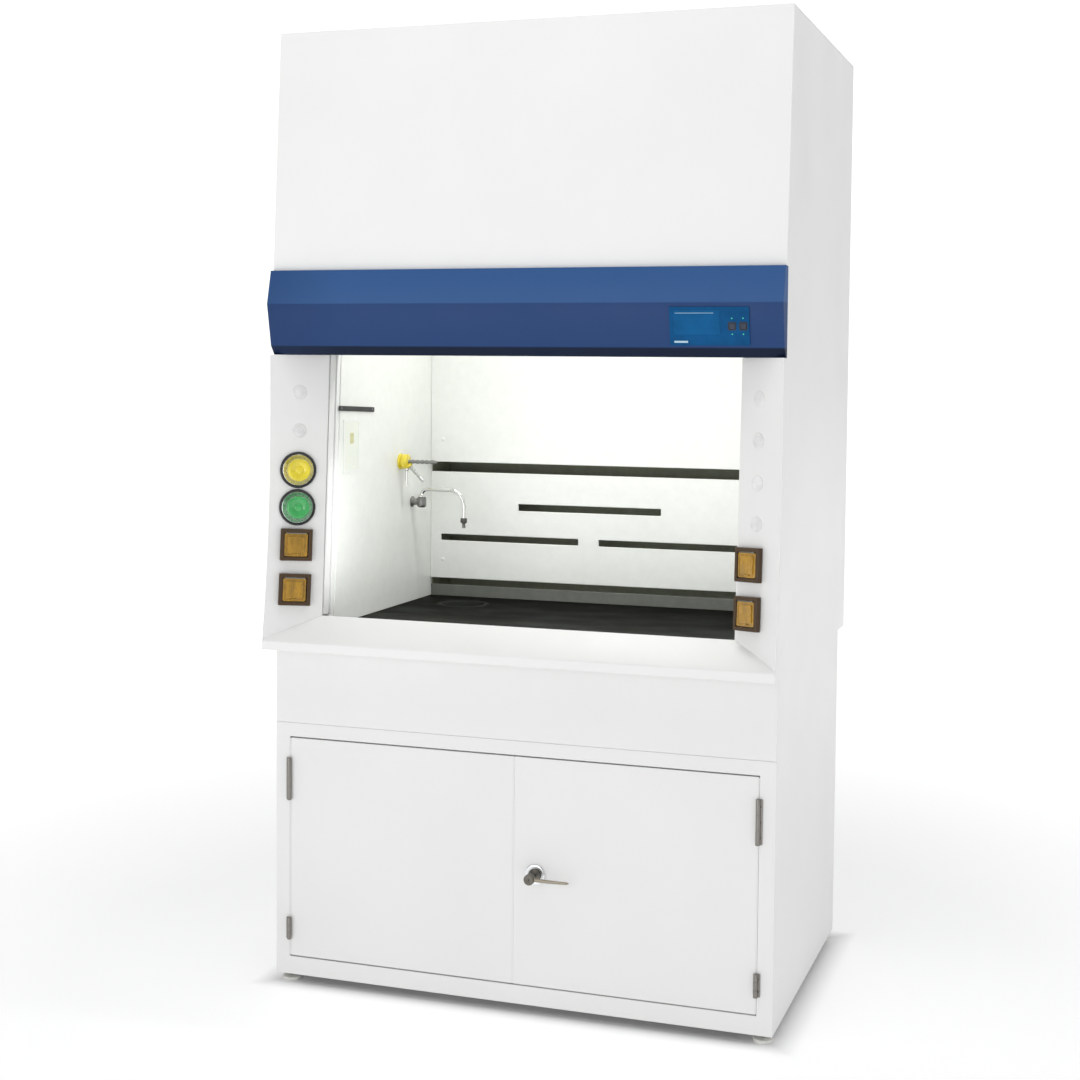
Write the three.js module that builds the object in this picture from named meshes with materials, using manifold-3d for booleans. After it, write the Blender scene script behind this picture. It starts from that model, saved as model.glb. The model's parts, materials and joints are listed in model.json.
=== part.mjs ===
// A floor-standing fume hood: a ducted hood with a leaning vertical sash, standing on a two-door base
// cabinet. Millimetres, +Z up, +X to the right and +Y to the back for a person facing the hood.
// The origin is on the floor, under the middle of the hood's box.
import * as THREE from "three";
import { mergeVertices } from "three/addons/utils/BufferGeometryUtils.js";
import Module from "manifold-3d";

// ---- Driving dimensions ----

// Overall
const HOOD_WIDTH = 1200;
const HOOD_DEPTH = 896;
const OPENING_HEIGHT = 609;
const HEADROOM = 134; // over the raised sash, whose height is about the opening's
const SHEET = 3; // folded steel of the shell
const GAP = 0.3; // between pieces that touch
const ROUND_SIDES = 24;

// Base cabinet
const BASE_TOP = 800;
const BASE_INSET = 6; // on each side
const BASE_SETBACK = 62; // from the sill's lip to the cabinet's front
const BASE_REAR_SETBACK = 52;
const FOOT_HEIGHT = 22;
const FOOT_RADIUS = 22.5;
const FOOT_EDGE = 2;
const FOOT_PAD = 8;
const FOOT_CONE = 4; // from the pad to the neck
const FOOT_NECK_RADIUS = 10;
const FOOT_INSET_X = 26;
const FOOT_INSET_Y = 33;
const STILE_WIDTH = 35.5;
const BOTTOM_RAIL = 43;
const TOP_RAIL = 33;
const APRON_HEIGHT = 178;
const FLANGE = 60; // folded flanges that carry the worktop and the feet

// Doors
const DOOR_THICKNESS = 20;
const DOOR_GAP = 3;
const HINGE_RADIUS = 5;
const HINGE_STANDOFF = 6.5; // from the door's face to the hinge's axis
const HINGE_LEAF = 9;
const HINGE_LEAF_BEHIND = 2; // from the barrel's front, in line with the axis
const UPPER_HINGE = { from_top: 49, length: 101 };
const LOWER_HINGE = { from_bottom: 42, length: 53 };
const LATCH_X = 52;
const LATCH_RISE = 257; // over the doors' opening
const LEVER_LENGTH = 92;
const LEVER_STANDOFF = 46;
const LEVER_HALF = 6; // its half width
const LEVER_DEPTH = 10;
const LEVER_BELOW_HUB = 2;
const HUB = { radius: 12, depth: 14 };
const ROSE = { radius: 15, depth: 6 };
const CAM = { half: 11, thickness: 4, boss: 14, behind_door: 5 };
const SPINDLE_RADIUS = 6;
const RUNNING_CLEARANCE = 0.6;

// Work opening: two bevelled posts over a sloping sill
const POST_WIDTH = 108;
const SILL_RISE = 73; // of the inner edge over the cabinet
const SILL_INNER_SETBACK = 93.6; // from the lip to the sill's inner edge
const NOSE_RISE = 25;
const SILL_NOSE_SETBACK = 4;
const SILL_BACK = 3;
const SASH_LEAN = THREE.MathUtils.degToRad(3.55);
const POST_FRONT_SETBACK = 42; // where the post's front edge stands upright
const POST_ARC_HEIGHT = 449; // the front edge is an arc up to this height over the sill
const POST_ARC_RADIUS = 3170;
const POST_STEPS = 10;

// Front above the opening
const FASCIA_HEIGHT = 193;
const FASCIA_RIDGE = 116; // above its bottom
const FASCIA_CHAMFER = 20;
const FASCIA_RIDGE_SETBACK = 26;
const FASCIA_TOP_SETBACK = 45;
const FASCIA_CHAMFER_SETBACK = 46;
const FASCIA_BOTTOM_SETBACK = 62;
const FASCIA_BACK_SETBACK = 73;
const FASCIA_FLANGE = 50;
const PANEL_SETBACK = 57; // the plain panel above the fascia
const PANEL_LEAN = THREE.MathUtils.degToRad(3.9);

// Control panel
const CONTROL = { from_side: 159.5, width: 173, height: 83, thickness: 3, below_ridge: 51 };
const KEY_SIZE = 13;
const KEY_THICKNESS = 2.7;
const KEY_CLEARANCE = 0.5;
const KEY_TRAVEL = 1.2;
const KEY_RIGHT_OF_MIDDLE = [49.5, 73.5];

// Sash, its tracks and its balance
const SASH_LOWEST = 8; // above the sill when it is closed
const SASH_OVER_FASCIA = 5.8; // above the fascia's lower edge when it is raised
const SASH_OVERLAP = 52; // behind the fascia when it is closed
const GLASS_THICKNESS = 6;
const GLASS_FOOT = 12; // from the rail's underside to the glass
const GLASS_BEHIND_POST = 41;
const GLASS_IN_TRACK = 14;
const RAIL_HEIGHT = 34;
const RAIL_DEPTH = 28;
const RAIL_LIP = 16;
const RAIL_LIP_THICKNESS = 5;
const RAIL_LIP_RISE = 13;
const TRACK_SETBACK = 8;
const TRACK_DEPTH = 54;
const TRACK_WIDTH = 24;
const SLOT_WIDTH = 10;
const SLOT_DEPTH = 17;
const WHEEL_RADIUS = 45;
const WHEEL_WIDTH = 14;
const WHEEL_BESIDE_OPENING = 35;
const SHAFT_RADIUS = 8;
const SHAFT_BEARING = 15; // its length from the side sheet
const SHAFT_BELOW_TOP = 60;
const WEIGHT = { side: 40, height: 490, over_worktop: 58 };

// Inside the work chamber
const WORKTOP_THICKNESS = 42;
const WORKTOP_SLAB = 25;
const WORKTOP_RIM = 60;
const LINER_PROUD = 2; // of the opening's edge
const LINER_THICKNESS = 6;
const CEILING_BELOW_TOP = 195;
const PLENUM_DEPTH = 144; // behind the baffle's face
const BAFFLE_THICKNESS = 6;
const BAFFLE_LEAN = { over: 114, height: 350 };
const CEILING_SLOT = 30;
const CEILING_TO_BAFFLE = 79;
const BOTTOM_SLOT = 49;
const SLOT_PATTERN_X = -46;
const SLOT_MARGIN = 30;
const UPPER_SLOT = { rise: 335, height: 26 };
const MIDDLE_SLOT = { rise: 245, width: 389, height: 18 };
const LOWER_SLOT = { rise: 159, apart: 56, height: 17 };
const LAMP = { width: 700, depth: 160, from_front: 99, thickness: 12 };
const SINK = { radius: 60, depth: 140, wall: 4, lip: 8, drain: 18, tail: 30, cone: 50 };

// Exhaust collar
const COLLAR_RADIUS = 125;
const COLLAR_HEIGHT = 50;
const COLLAR_FROM_BACK = 153;
const COLLAR_SIDES = 36;

// Services
const GAS_OUTLET = { from_baffle: 207, rise: 371 };
const WATER_OUTLET = { from_baffle: 130, rise: 262 };
const SPOUT_RADIUS = 6;
const SPOUT_FROM_WALL = 28;
const SPOUT_REACH = 118;
const SPOUT_BEND = 46;
const SPOUT_RISE = 20;
const SPOUT_ELBOW = 16;
const SPOUT_DROP = 30; // its straight end over the tip
const TIP = { radius: 9, mouth: 5, length: 22, cone: 12, collar: 4 };
const FITTING = { flange: 18, flange_depth: 4, neck: 9, neck_from: 8 };
const FITTING_BODY = { radius: 12, low: -14, high: 13 };
const NOZZLE = { radius: 6, groove: 4.5, mouth: 3.5, ribs: 4 };
const GAS = { flange: 21, flange_depth: 6, neck: 13, body: 17, length: 46, step: 4 };
const GAS_NOZZLE = { length: 60, from: 44, down_length: 62, down_from: 8, down_rise: 32 };
const KNOB_RISES = { gas: 341, water: 254 }; // over the sill
const BEZEL_RADIUS = 42.5;
const BEZEL_THICKNESS = 7;
const VALVE_RADIUS = 19;
const VALVE_DEPTH = 48;
const BEZEL_DISH = 3;
const BEZEL_EDGE = 2;
const BEZEL_LAND = 3; // the rim's flat ring
const KNOB_RADIUS = 28.5;
const KNOB_HEIGHT = 24;
const KNOB_SKIRT = 6;
const KNOB_CROWN = 4; // the rounding of its outer edge
const KNOB_DIMPLE = 3;
const STEM_RADIUS = 5;
const STEM_DEPTH = 28; // behind the post's face
const SOCKET_RISES = { upper: 167, lower: 63 };
const SOCKET_SIZE = 74;
const SOCKET_THICKNESS = 13;
const SOCKET_BOX = 58;
const SOCKET_DEPTH = 16;
const SOCKET_INWARD = { left: 0, right: 22 }; // from the post's middle line to the opening
const LID_SIZE = 54;
const LID_THICKNESS = 4;
const LID_CLEARANCE = 0.6;
const FACE_GAP = 1.5; // flat fittings on the slightly curved posts
const FITTING_CUT = 15; // how far the cuts for the fittings reach from the posts' faces

// ---- Sizes that follow ----

const HALF = HOOD_WIDTH / 2;
const FRONT = -HOOD_DEPTH / 2;
const BACK = HOOD_DEPTH / 2;
const SHELL_INSIDE = HALF - SHEET;
const BASE_HALF = HALF - BASE_INSET;
const BASE_FRONT = FRONT + BASE_SETBACK;
const BASE_BACK = BACK - BASE_REAR_SETBACK;
const DOOR_BOTTOM = FOOT_HEIGHT + BOTTOM_RAIL;
const APRON_BOTTOM = BASE_TOP - APRON_HEIGHT;
const DOOR_TOP = APRON_BOTTOM - TOP_RAIL;
const DOORWAY_HALF = BASE_HALF - STILE_WIDTH;
const LATCH_Z = DOOR_BOTTOM + LATCH_RISE;
const INNER_HALF = HALF - POST_WIDTH;
const SILL_INNER_TOP = BASE_TOP + SILL_RISE;
const SILL_NOSE_TOP = BASE_TOP + NOSE_RISE;
const SILL_INNER_Y = FRONT + SILL_INNER_SETBACK;
const SILL_NOSE_Y = FRONT + SILL_NOSE_SETBACK;
const SILL_BACK_Y = SILL_INNER_Y + SILL_BACK;
const SILL_SLOPE = (SILL_INNER_TOP - SILL_NOSE_TOP) / (SILL_INNER_Y - SILL_NOSE_Y);
const POST_ARC_TOP = SILL_INNER_TOP + POST_ARC_HEIGHT;
const FASCIA_BOTTOM = SILL_INNER_TOP + OPENING_HEIGHT;
const FASCIA_TOP = FASCIA_BOTTOM + FASCIA_HEIGHT;
const FASCIA_BACK_Y = FRONT + FASCIA_BACK_SETBACK;
const HOOD_TOP = FASCIA_BOTTOM + OPENING_HEIGHT + HEADROOM;
const SASH_TRAVEL = (OPENING_HEIGHT + SASH_OVER_FASCIA) / Math.cos(SASH_LEAN) - SASH_LOWEST;
const SASH_HEIGHT = SASH_TRAVEL + SASH_OVERLAP;
const TRACK_BACK = TRACK_SETBACK + TRACK_DEPTH;
const TRACK_LENGTH = SASH_LOWEST + SASH_TRAVEL + SASH_HEIGHT;
const BALANCE_X = INNER_HALF + WHEEL_BESIDE_OPENING;
const SHAFT_Z = HOOD_TOP - SHAFT_BELOW_TOP;
const WORKTOP_TOP = BASE_TOP + WORKTOP_THICKNESS;
const LINER_X = INNER_HALF - LINER_PROUD;
const CEILING_Z = HOOD_TOP - CEILING_BELOW_TOP;
const LINER_TOP = CEILING_Z + LINER_THICKNESS;
const BAFFLE_Y = BACK - PLENUM_DEPTH;
const SPOUT_X = -LINER_X + SPOUT_FROM_WALL;
const SPOUT_Y = BAFFLE_Y - WATER_OUTLET.from_baffle;
const SINK_X = SPOUT_X + SPOUT_REACH;

// The posts' front edge, an arc that ends upright, and their straight inner edge beside the sash.
function postFrontY(z) {
  const below = Math.max(0, POST_ARC_TOP - z);
  const bulge = POST_ARC_RADIUS - Math.sqrt(POST_ARC_RADIUS ** 2 - below ** 2);
  return FRONT + POST_FRONT_SETBACK - bulge;
}

function postInnerY(z) {
  return SILL_INNER_Y + (z - SILL_INNER_TOP) * Math.tan(SASH_LEAN);
}

function sillTopZ(y) {
  return Math.min(SILL_INNER_TOP, SILL_INNER_TOP + (y - SILL_INNER_Y) * SILL_SLOPE);
}

function panelFrontY(z) {
  return FRONT + PANEL_SETBACK + (z - FASCIA_TOP) * Math.tan(PANEL_LEAN);
}

function linerFrontY(z) {
  return postInnerY(z) + (TRACK_BACK + 1) / Math.cos(SASH_LEAN);
}

// The shaft stands behind the raised sash by the radius of its wheels.
const SHAFT_Y = postInnerY(SHAFT_Z) + GLASS_BEHIND_POST / Math.cos(SASH_LEAN) + WHEEL_RADIUS;

// ---- Solids ----

const wasm = await Module();
wasm.setup();

function solidOf(geometry) {
  const bare = geometry.clone();
  bare.deleteAttribute("normal");
  bare.deleteAttribute("uv");
  const merged = mergeVertices(bare, 1e-3);
  return new wasm.Manifold(
    new wasm.Mesh({
      numProp: 3,
      vertProperties: merged.attributes.position.array,
      triVerts: new Uint32Array(merged.index.array),
    }),
  );
}

function geometryOf(solid) {
  const mesh = solid.getMesh();
  const geometry = new THREE.BufferGeometry();
  geometry.setAttribute("position", new THREE.BufferAttribute(mesh.vertProperties, 3));
  geometry.setIndex(new THREE.BufferAttribute(mesh.triVerts, 1));
  const faceted = geometry.toNonIndexed();
  faceted.computeVertexNormals();
  return faceted;
}

function join(...geometries) {
  return geometryOf(geometries.map(solidOf).reduce((whole, piece) => whole.add(piece)));
}

function cut(geometry, ...tools) {
  return geometryOf(tools.map(solidOf).reduce((rest, tool) => rest.subtract(tool), solidOf(geometry)));
}

// A block between two corners.
function block([x0, y0, z0], [x1, y1, z1]) {
  const geometry = new THREE.BoxGeometry(x1 - x0, y1 - y0, z1 - z0);
  return geometry.translate((x0 + x1) / 2, (y0 + y1) / 2, (z0 + z1) / 2);
}

function extruded(points, depth) {
  const shape = new THREE.Shape(points.map(([a, b]) => new THREE.Vector2(a, b)));
  return new THREE.ExtrudeGeometry(shape, { depth, bevelEnabled: false });
}

// A (y, z) outline drawn out from x0 to x1.
function alongX(points, x0, x1) {
  const turn = new THREE.Matrix4().makeBasis(
    new THREE.Vector3(0, 1, 0),
    new THREE.Vector3(0, 0, 1),
    new THREE.Vector3(1, 0, 0),
  );
  return extruded(points, x1 - x0)
    .applyMatrix4(turn)
    .translate(x0, 0, 0);
}

// An (x, z) outline drawn out from y0 to y1.
function alongY(points, y0, y1) {
  return extruded(points, y1 - y0)
    .rotateX(Math.PI / 2)
    .translate(0, y1, 0);
}

// The outline of a folded sheet: its outer path and the same path moved inwards, to the path's right.
function foldedSheet(path, thickness) {
  const points = path.map(([a, b]) => new THREE.Vector2(a, b));
  const right = (from, to) => {
    const way = to.clone().sub(from).normalize();
    return new THREE.Vector2(way.y, -way.x);
  };
  const inner = points.map((point, i) => {
    const before = i > 0 ? right(points[i - 1], point) : null;
    const after = i < points.length - 1 ? right(point, points[i + 1]) : null;
    const a = before ?? after;
    const b = after ?? before;
    const miter = a.clone().add(b).normalize();
    return point.clone().addScaledVector(miter, thickness / miter.dot(a));
  });
  return [...points, ...inner.reverse()].map((point) => [point.x, point.y]);
}

// A profile of [radius, height] points turned about +Z, closing on itself or on the axis.
function turned(profile, sides = ROUND_SIDES) {
  const points = profile.map(([radius, height]) => new THREE.Vector2(radius, height));
  return new THREE.LatheGeometry(points, sides).rotateX(Math.PI / 2);
}

// A rod along +Z from z0 to z1.
function rod(radius, z0, z1, sides = ROUND_SIDES) {
  return turned(
    [
      [0, z0],
      [radius, z0],
      [radius, z1],
      [0, z1],
    ],
    sides,
  );
}

const AXIS_X = new THREE.Matrix4().makeRotationY(Math.PI / 2);
const AXIS_FRONT = new THREE.Matrix4().makeRotationX(Math.PI / 2);

// ---- Materials ----

function paint(color, roughness, metalness = 0) {
  return () => new THREE.MeshStandardMaterial({ color, roughness, metalness });
}

const MATERIALS = {
  white: paint(0xebebe9, 0.45),
  blue: paint(0x2f4a80, 0.35),
  display: paint(0x175a8c, 0.2),
  key: paint(0x1c2530, 0.5),
  liner: paint(0xf4f7f2, 0.4),
  worktop: paint(0x24261f, 0.5),
  chrome: paint(0xc9c9c6, 0.2, 1),
  steel: paint(0x8f8d86, 0.45, 1),
  aluminium: paint(0xd0d2d2, 0.35, 1),
  yellow: paint(0xe2cf34, 0.3),
  green: paint(0x49aa55, 0.3),
  bezel: paint(0x2b2c2e, 0.4),
  amber: paint(0xc79428, 0.25),
  brown: paint(0x3c2c14, 0.45),
  glass: paint(0xdfeeea, 0.05),
  lamp: paint(0xffffff, 0.6),
  foot: paint(0xdcdcd8, 0.5),
};

const hood = new THREE.Group();

function add(name, geometry, material, parent = hood) {
  const mesh = new THREE.Mesh(geometry, MATERIALS[material]());
  mesh.name = name;
  parent.add(mesh);
  return mesh;
}

const SIDES = [
  ["left", -1],
  ["right", 1],
];

// The span between two distances from the middle, on one side, from low x to high x.
function span(side, near, far) {
  return side > 0 ? [near, far] : [-far, -near];
}

// ---- Base cabinet ----

function baseSide(side) {
  const [x0, x1] = span(side, BASE_HALF - SHEET, BASE_HALF);
  const front = BASE_FRONT + SHEET + GAP;
  return block([x0, front, FOOT_HEIGHT + GAP], [x1, BASE_BACK, BASE_TOP]);
}

function baseBack() {
  const path = [
    [BASE_BACK - FLANGE, BASE_TOP],
    [BASE_BACK, BASE_TOP],
    [BASE_BACK, FOOT_HEIGHT + GAP],
  ];
  const half = BASE_HALF - SHEET - GAP;
  return alongX(foldedSheet(path, SHEET), -half, half);
}

// The floor pan turns down at both sides and carries the feet on its inward flanges.
function baseFloor() {
  const half = BASE_HALF - SHEET - GAP;
  const path = [
    [-half + FLANGE, FOOT_HEIGHT + GAP],
    [-half, FOOT_HEIGHT + GAP],
    [-half, DOOR_BOTTOM],
    [half, DOOR_BOTTOM],
    [half, FOOT_HEIGHT + GAP],
    [half - FLANGE, FOOT_HEIGHT + GAP],
  ];
  const front = BASE_FRONT + DOOR_THICKNESS + GAP;
  return alongY(foldedSheet(path, SHEET), front, BASE_BACK - SHEET - GAP);
}

function frontFrame() {
  const back = BASE_FRONT + DOOR_THICKNESS;
  const face = block(
    [-BASE_HALF, BASE_FRONT, FOOT_HEIGHT + GAP],
    [BASE_HALF, BASE_FRONT + SHEET, APRON_BOTTOM - GAP],
  );
  const rim = block(
    [-DOORWAY_HALF - SHEET, BASE_FRONT, DOOR_BOTTOM - SHEET],
    [DOORWAY_HALF + SHEET, back, DOOR_TOP + SHEET],
  );
  const doorway = block(
    [-DOORWAY_HALF, BASE_FRONT - 1, DOOR_BOTTOM],
    [DOORWAY_HALF, back + 1, DOOR_TOP],
  );
  return cut(join(face, rim), doorway);
}

// The plain panel over the doors, folded back along its top to carry the worktop's front.
function apron() {
  const path = [
    [BASE_FRONT, APRON_BOTTOM],
    [BASE_FRONT, BASE_TOP],
    [BASE_FRONT + FLANGE, BASE_TOP],
  ];
  const clear = BASE_HALF - SHEET - GAP;
  const sheet = alongX(foldedSheet(path, SHEET), -BASE_HALF, BASE_HALF);
  const corners = SIDES.map(([, side]) => {
    const [x0, x1] = span(side, clear, BASE_HALF + 1);
    return block([x0, BASE_FRONT + SHEET, APRON_BOTTOM - 1], [x1, BASE_BACK, BASE_TOP + 1]);
  });
  return cut(sheet, ...corners);
}

function foot() {
  return turned([
    [0, 0],
    [FOOT_RADIUS - FOOT_EDGE, 0],
    [FOOT_RADIUS, FOOT_EDGE],
    [FOOT_RADIUS, FOOT_PAD],
    [FOOT_NECK_RADIUS, FOOT_PAD + FOOT_CONE],
    [FOOT_NECK_RADIUS, FOOT_HEIGHT],
    [0, FOOT_HEIGHT],
  ]);
}

for (const [name, side] of SIDES) {
  add(`base_${name}_side`, baseSide(side), "white");
}
add("base_back", baseBack(), "white");
add("base_floor", baseFloor(), "white");
add("base_front_frame", frontFrame(), "white");
add("base_apron", apron(), "white");

const FOOT_ROWS = [
  ["front", BASE_FRONT + FOOT_INSET_Y],
  ["rear", BASE_BACK - FOOT_INSET_Y],
];
for (const [row, y] of FOOT_ROWS) {
  for (const [name, side] of SIDES) {
    const piece = add(`foot_${row}_${name}`, foot(), "foot");
    piece.position.set(side * (BASE_HALF - FOOT_INSET_X), y, 0);
  }
}

// ---- Doors ----

// A folded pan: a face with its rim turned back all round.
function doorPan(side) {
  const [x0, x1] = span(side, DOOR_GAP / 2, DOORWAY_HALF - DOOR_GAP);
  const z0 = DOOR_BOTTOM + DOOR_GAP;
  const z1 = DOOR_TOP - DOOR_GAP;
  const back = BASE_FRONT + DOOR_THICKNESS;
  const pan = block([x0, BASE_FRONT, z0], [x1, back, z1]);
  const inside = block(
    [x0 + SHEET, BASE_FRONT + SHEET, z0 + SHEET],
    [x1 - SHEET, back + 1, z1 - SHEET],
  );
  return cut(pan, inside);
}

function latchHole() {
  return rod(SPINDLE_RADIUS + RUNNING_CLEARANCE, -DOOR_THICKNESS, DOOR_THICKNESS)
    .applyMatrix4(AXIS_FRONT)
    .translate(LATCH_X, BASE_FRONT, LATCH_Z);
}

const HINGE_X = DOORWAY_HALF - DOOR_GAP / 2;
const HINGE_Y = BASE_FRONT - HINGE_STANDOFF;

// A barrel over the gap beside the door, with its narrow leaf on the stile.
function hinge(side, z, length) {
  const barrel = rod(HINGE_RADIUS, z, z + length).translate(side * HINGE_X, HINGE_Y, 0);
  const [x0, x1] = span(side, HINGE_X, HINGE_X + HINGE_LEAF);
  const leafFront = HINGE_Y + HINGE_RADIUS - HINGE_LEAF_BEHIND;
  const leaf = block([x0, leafFront, z], [x1, BASE_FRONT - GAP, z + length]);
  return join(barrel, leaf);
}

// The lever and its spindle, which runs through the door to the cam. Local +Z faces the user.
function latchHandle() {
  const front = LEVER_STANDOFF - LEVER_BELOW_HUB;
  const back = front - LEVER_DEPTH;
  const far = LEVER_LENGTH - LEVER_HALF;
  const hub = rod(HUB.radius, LEVER_STANDOFF - HUB.depth, LEVER_STANDOFF);
  const rose = rod(ROSE.radius, GAP, ROSE.depth);
  const spindle = rod(SPINDLE_RADIUS, -DOOR_THICKNESS - CAM.behind_door - 1, front);
  const lever = block([0, -LEVER_HALF, back], [far, LEVER_HALF, front]);
  const tip = rod(LEVER_HALF, back, front).translate(far, 0, 0);
  return join(hub, rose, spindle, lever, tip);
}

function latchCam() {
  const far = LATCH_X - DOOR_GAP * 2;
  const arm = block([-far, -CAM.half, 0], [0, CAM.half, CAM.thickness]);
  const boss = rod(CAM.boss, 0, CAM.thickness);
  const hole = rod(SPINDLE_RADIUS + GAP, -1, CAM.thickness + 1);
  return cut(join(arm, boss), hole);
}

add("left_door", doorPan(-1), "white");
add("right_door", cut(doorPan(1), latchHole()), "white");
for (const [name, side] of SIDES) {
  const upper = DOOR_TOP - UPPER_HINGE.from_top - UPPER_HINGE.length;
  add(`${name}_upper_hinge`, hinge(side, upper, UPPER_HINGE.length), "steel");
  const lower = DOOR_BOTTOM + LOWER_HINGE.from_bottom;
  add(`${name}_lower_hinge`, hinge(side, lower, LOWER_HINGE.length), "steel");
}

const latch = new THREE.Group();
latch.position.set(LATCH_X, BASE_FRONT, LATCH_Z);
latch.rotation.x = Math.PI / 2;
hood.add(latch);
add("latch_handle", latchHandle(), "chrome", latch);
add("latch_cam", latchCam().translate(0, 0, -DOOR_THICKNESS - CAM.behind_door), "steel", latch);

// ---- Hood shell ----

// The outer sheet of one side: its front edge follows the sill, the posts, the fascia and the panel.
function shellSide(side) {
  const [x0, x1] = span(side, SHELL_INSIDE, HALF);
  const postTop = FASCIA_BOTTOM - GAP;
  const bevel = (postInnerY(postTop) - postFrontY(postTop)) / (HALF - INNER_HALF);
  const postLap = SHEET + SHEET * bevel + GAP * 2;
  const sillFront = postFrontY(SILL_NOSE_TOP) + postLap;
  const outline = [
    [BACK, BASE_TOP + GAP],
    [BACK, HOOD_TOP - SHEET - GAP],
    [panelFrontY(HOOD_TOP) + SHEET + GAP, HOOD_TOP - SHEET - GAP],
    [panelFrontY(FASCIA_TOP) + SHEET + GAP, FASCIA_TOP],
    [FASCIA_BACK_Y + GAP, FASCIA_TOP],
    [FASCIA_BACK_Y + GAP, postTop],
  ];
  for (let i = 0; i <= POST_STEPS; i++) {
    const z = postTop + ((sillTopZ(sillFront) + GAP - postTop) * i) / POST_STEPS;
    outline.push([postFrontY(z) + postLap, z]);
  }
  outline.push([SILL_INNER_Y, SILL_INNER_TOP + GAP]);
  outline.push([SILL_BACK_Y + GAP, SILL_INNER_TOP + GAP]);
  outline.push([SILL_BACK_Y + GAP, BASE_TOP + GAP]);
  const sheet = alongX(outline.reverse(), x0, x1);
  const [boss0, boss1] = span(side, SHELL_INSIDE - SHAFT_BEARING, SHELL_INSIDE + 1);
  const onShaft = (geometry) => geometry.applyMatrix4(AXIS_X).translate(0, SHAFT_Y, SHAFT_Z);
  const boss = onShaft(rod(SHAFT_RADIUS * 2, boss0, boss1));
  const [hole0, hole1] = span(side, SHELL_INSIDE - SHAFT_BEARING - 1, SHELL_INSIDE);
  const bearing = onShaft(rod(SHAFT_RADIUS + RUNNING_CLEARANCE, hole0, hole1));
  return cut(join(sheet, boss), bearing);
}

function shellBack() {
  const half = SHELL_INSIDE - GAP;
  return block([-half, BACK - SHEET, BASE_TOP + GAP], [half, BACK, HOOD_TOP - SHEET - GAP]);
}

function roof() {
  const front = panelFrontY(HOOD_TOP) + SHEET + GAP;
  const y = BACK - COLLAR_FROM_BACK;
  const sheet = block([-HALF, front, HOOD_TOP - SHEET], [HALF, BACK, HOOD_TOP]);
  const collar = rod(COLLAR_RADIUS, HOOD_TOP - SHEET, HOOD_TOP + COLLAR_HEIGHT, COLLAR_SIDES);
  const [below, above] = [HOOD_TOP - SHEET - 1, HOOD_TOP + COLLAR_HEIGHT + 1];
  const duct = rod(COLLAR_RADIUS - SHEET, below, above, COLLAR_SIDES);
  return cut(join(sheet, collar.translate(0, y, 0)), duct.translate(0, y, 0));
}

function upperPanel() {
  const bottom = FASCIA_TOP + GAP;
  const outline = [
    [panelFrontY(bottom), bottom],
    [panelFrontY(bottom) + SHEET, bottom],
    [panelFrontY(HOOD_TOP) + SHEET, HOOD_TOP],
    [panelFrontY(HOOD_TOP), HOOD_TOP],
  ];
  return alongX(outline, -HALF, HALF);
}

const FASCIA_RIDGE_POINT = [FRONT + FASCIA_RIDGE_SETBACK, FASCIA_BOTTOM + FASCIA_RIDGE];
const FASCIA_CHAMFER_POINT = [FRONT + FASCIA_CHAMFER_SETBACK, FASCIA_BOTTOM + FASCIA_CHAMFER];

// The fascia is a closed-ended box, open at its back, with a lip below that reaches to the sash.
function fascia() {
  const face = [
    [FASCIA_BACK_Y, FASCIA_TOP],
    [FRONT + FASCIA_TOP_SETBACK, FASCIA_TOP],
    FASCIA_RIDGE_POINT,
    FASCIA_CHAMFER_POINT,
    [FRONT + FASCIA_BOTTOM_SETBACK, FASCIA_BOTTOM],
    [FASCIA_BACK_Y, FASCIA_BOTTOM],
  ];
  const sheet = foldedSheet([...face].reverse(), SHEET);
  const outer = alongX([...face].reverse(), -HALF, HALF);
  const inner = sheet.slice(face.length).map(([y, z]) => [y, z]);
  const inside = alongX(
    inner.map(([y, z]) => [y > FASCIA_BACK_Y - 1 ? y + 1 : y, z]).reverse(),
    -SHELL_INSIDE,
    SHELL_INSIDE,
  );
  const lip = block(
    [-SHELL_INSIDE + GAP, FASCIA_BACK_Y - 1, FASCIA_BOTTOM],
    [SHELL_INSIDE - GAP, FASCIA_BACK_Y + FASCIA_FLANGE, FASCIA_BOTTOM + SHEET],
  );
  return join(cut(outer, inside), lip);
}

for (const [name, side] of SIDES) {
  add(`hood_${name}_side`, shellSide(side), "white");
}
add("hood_back", shellBack(), "white");
add("hood_roof", roof(), "white");
add("upper_front_panel", upperPanel(), "white");
add("control_fascia", fascia(), "blue");

// ---- Control panel, on the fascia's lower facet ----

const facetDown = new THREE.Vector3(
  0,
  FASCIA_CHAMFER_POINT[0] - FASCIA_RIDGE_POINT[0],
  FASCIA_CHAMFER_POINT[1] - FASCIA_RIDGE_POINT[1],
).normalize();
const controls = new THREE.Group();
{
  const right = new THREE.Vector3(1, 0, 0);
  const up = facetDown.clone().negate();
  const out = right.clone().cross(up);
  const middle = new THREE.Vector3(HALF - CONTROL.from_side, ...FASCIA_RIDGE_POINT).addScaledVector(
    facetDown,
    CONTROL.below_ridge,
  );
  controls.applyMatrix4(new THREE.Matrix4().makeBasis(right, up, out).setPosition(middle));
}
hood.add(controls);

function controlFace() {
  const plate = block(
    [-CONTROL.width / 2, -CONTROL.height / 2, GAP],
    [CONTROL.width / 2, CONTROL.height / 2, GAP + CONTROL.thickness],
  );
  const half = KEY_SIZE / 2 + KEY_CLEARANCE;
  const windows = KEY_RIGHT_OF_MIDDLE.map((x) =>
    block([x - half, -half, -1], [x + half, half, CONTROL.thickness + 1]),
  );
  return cut(plate, ...windows);
}

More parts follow.
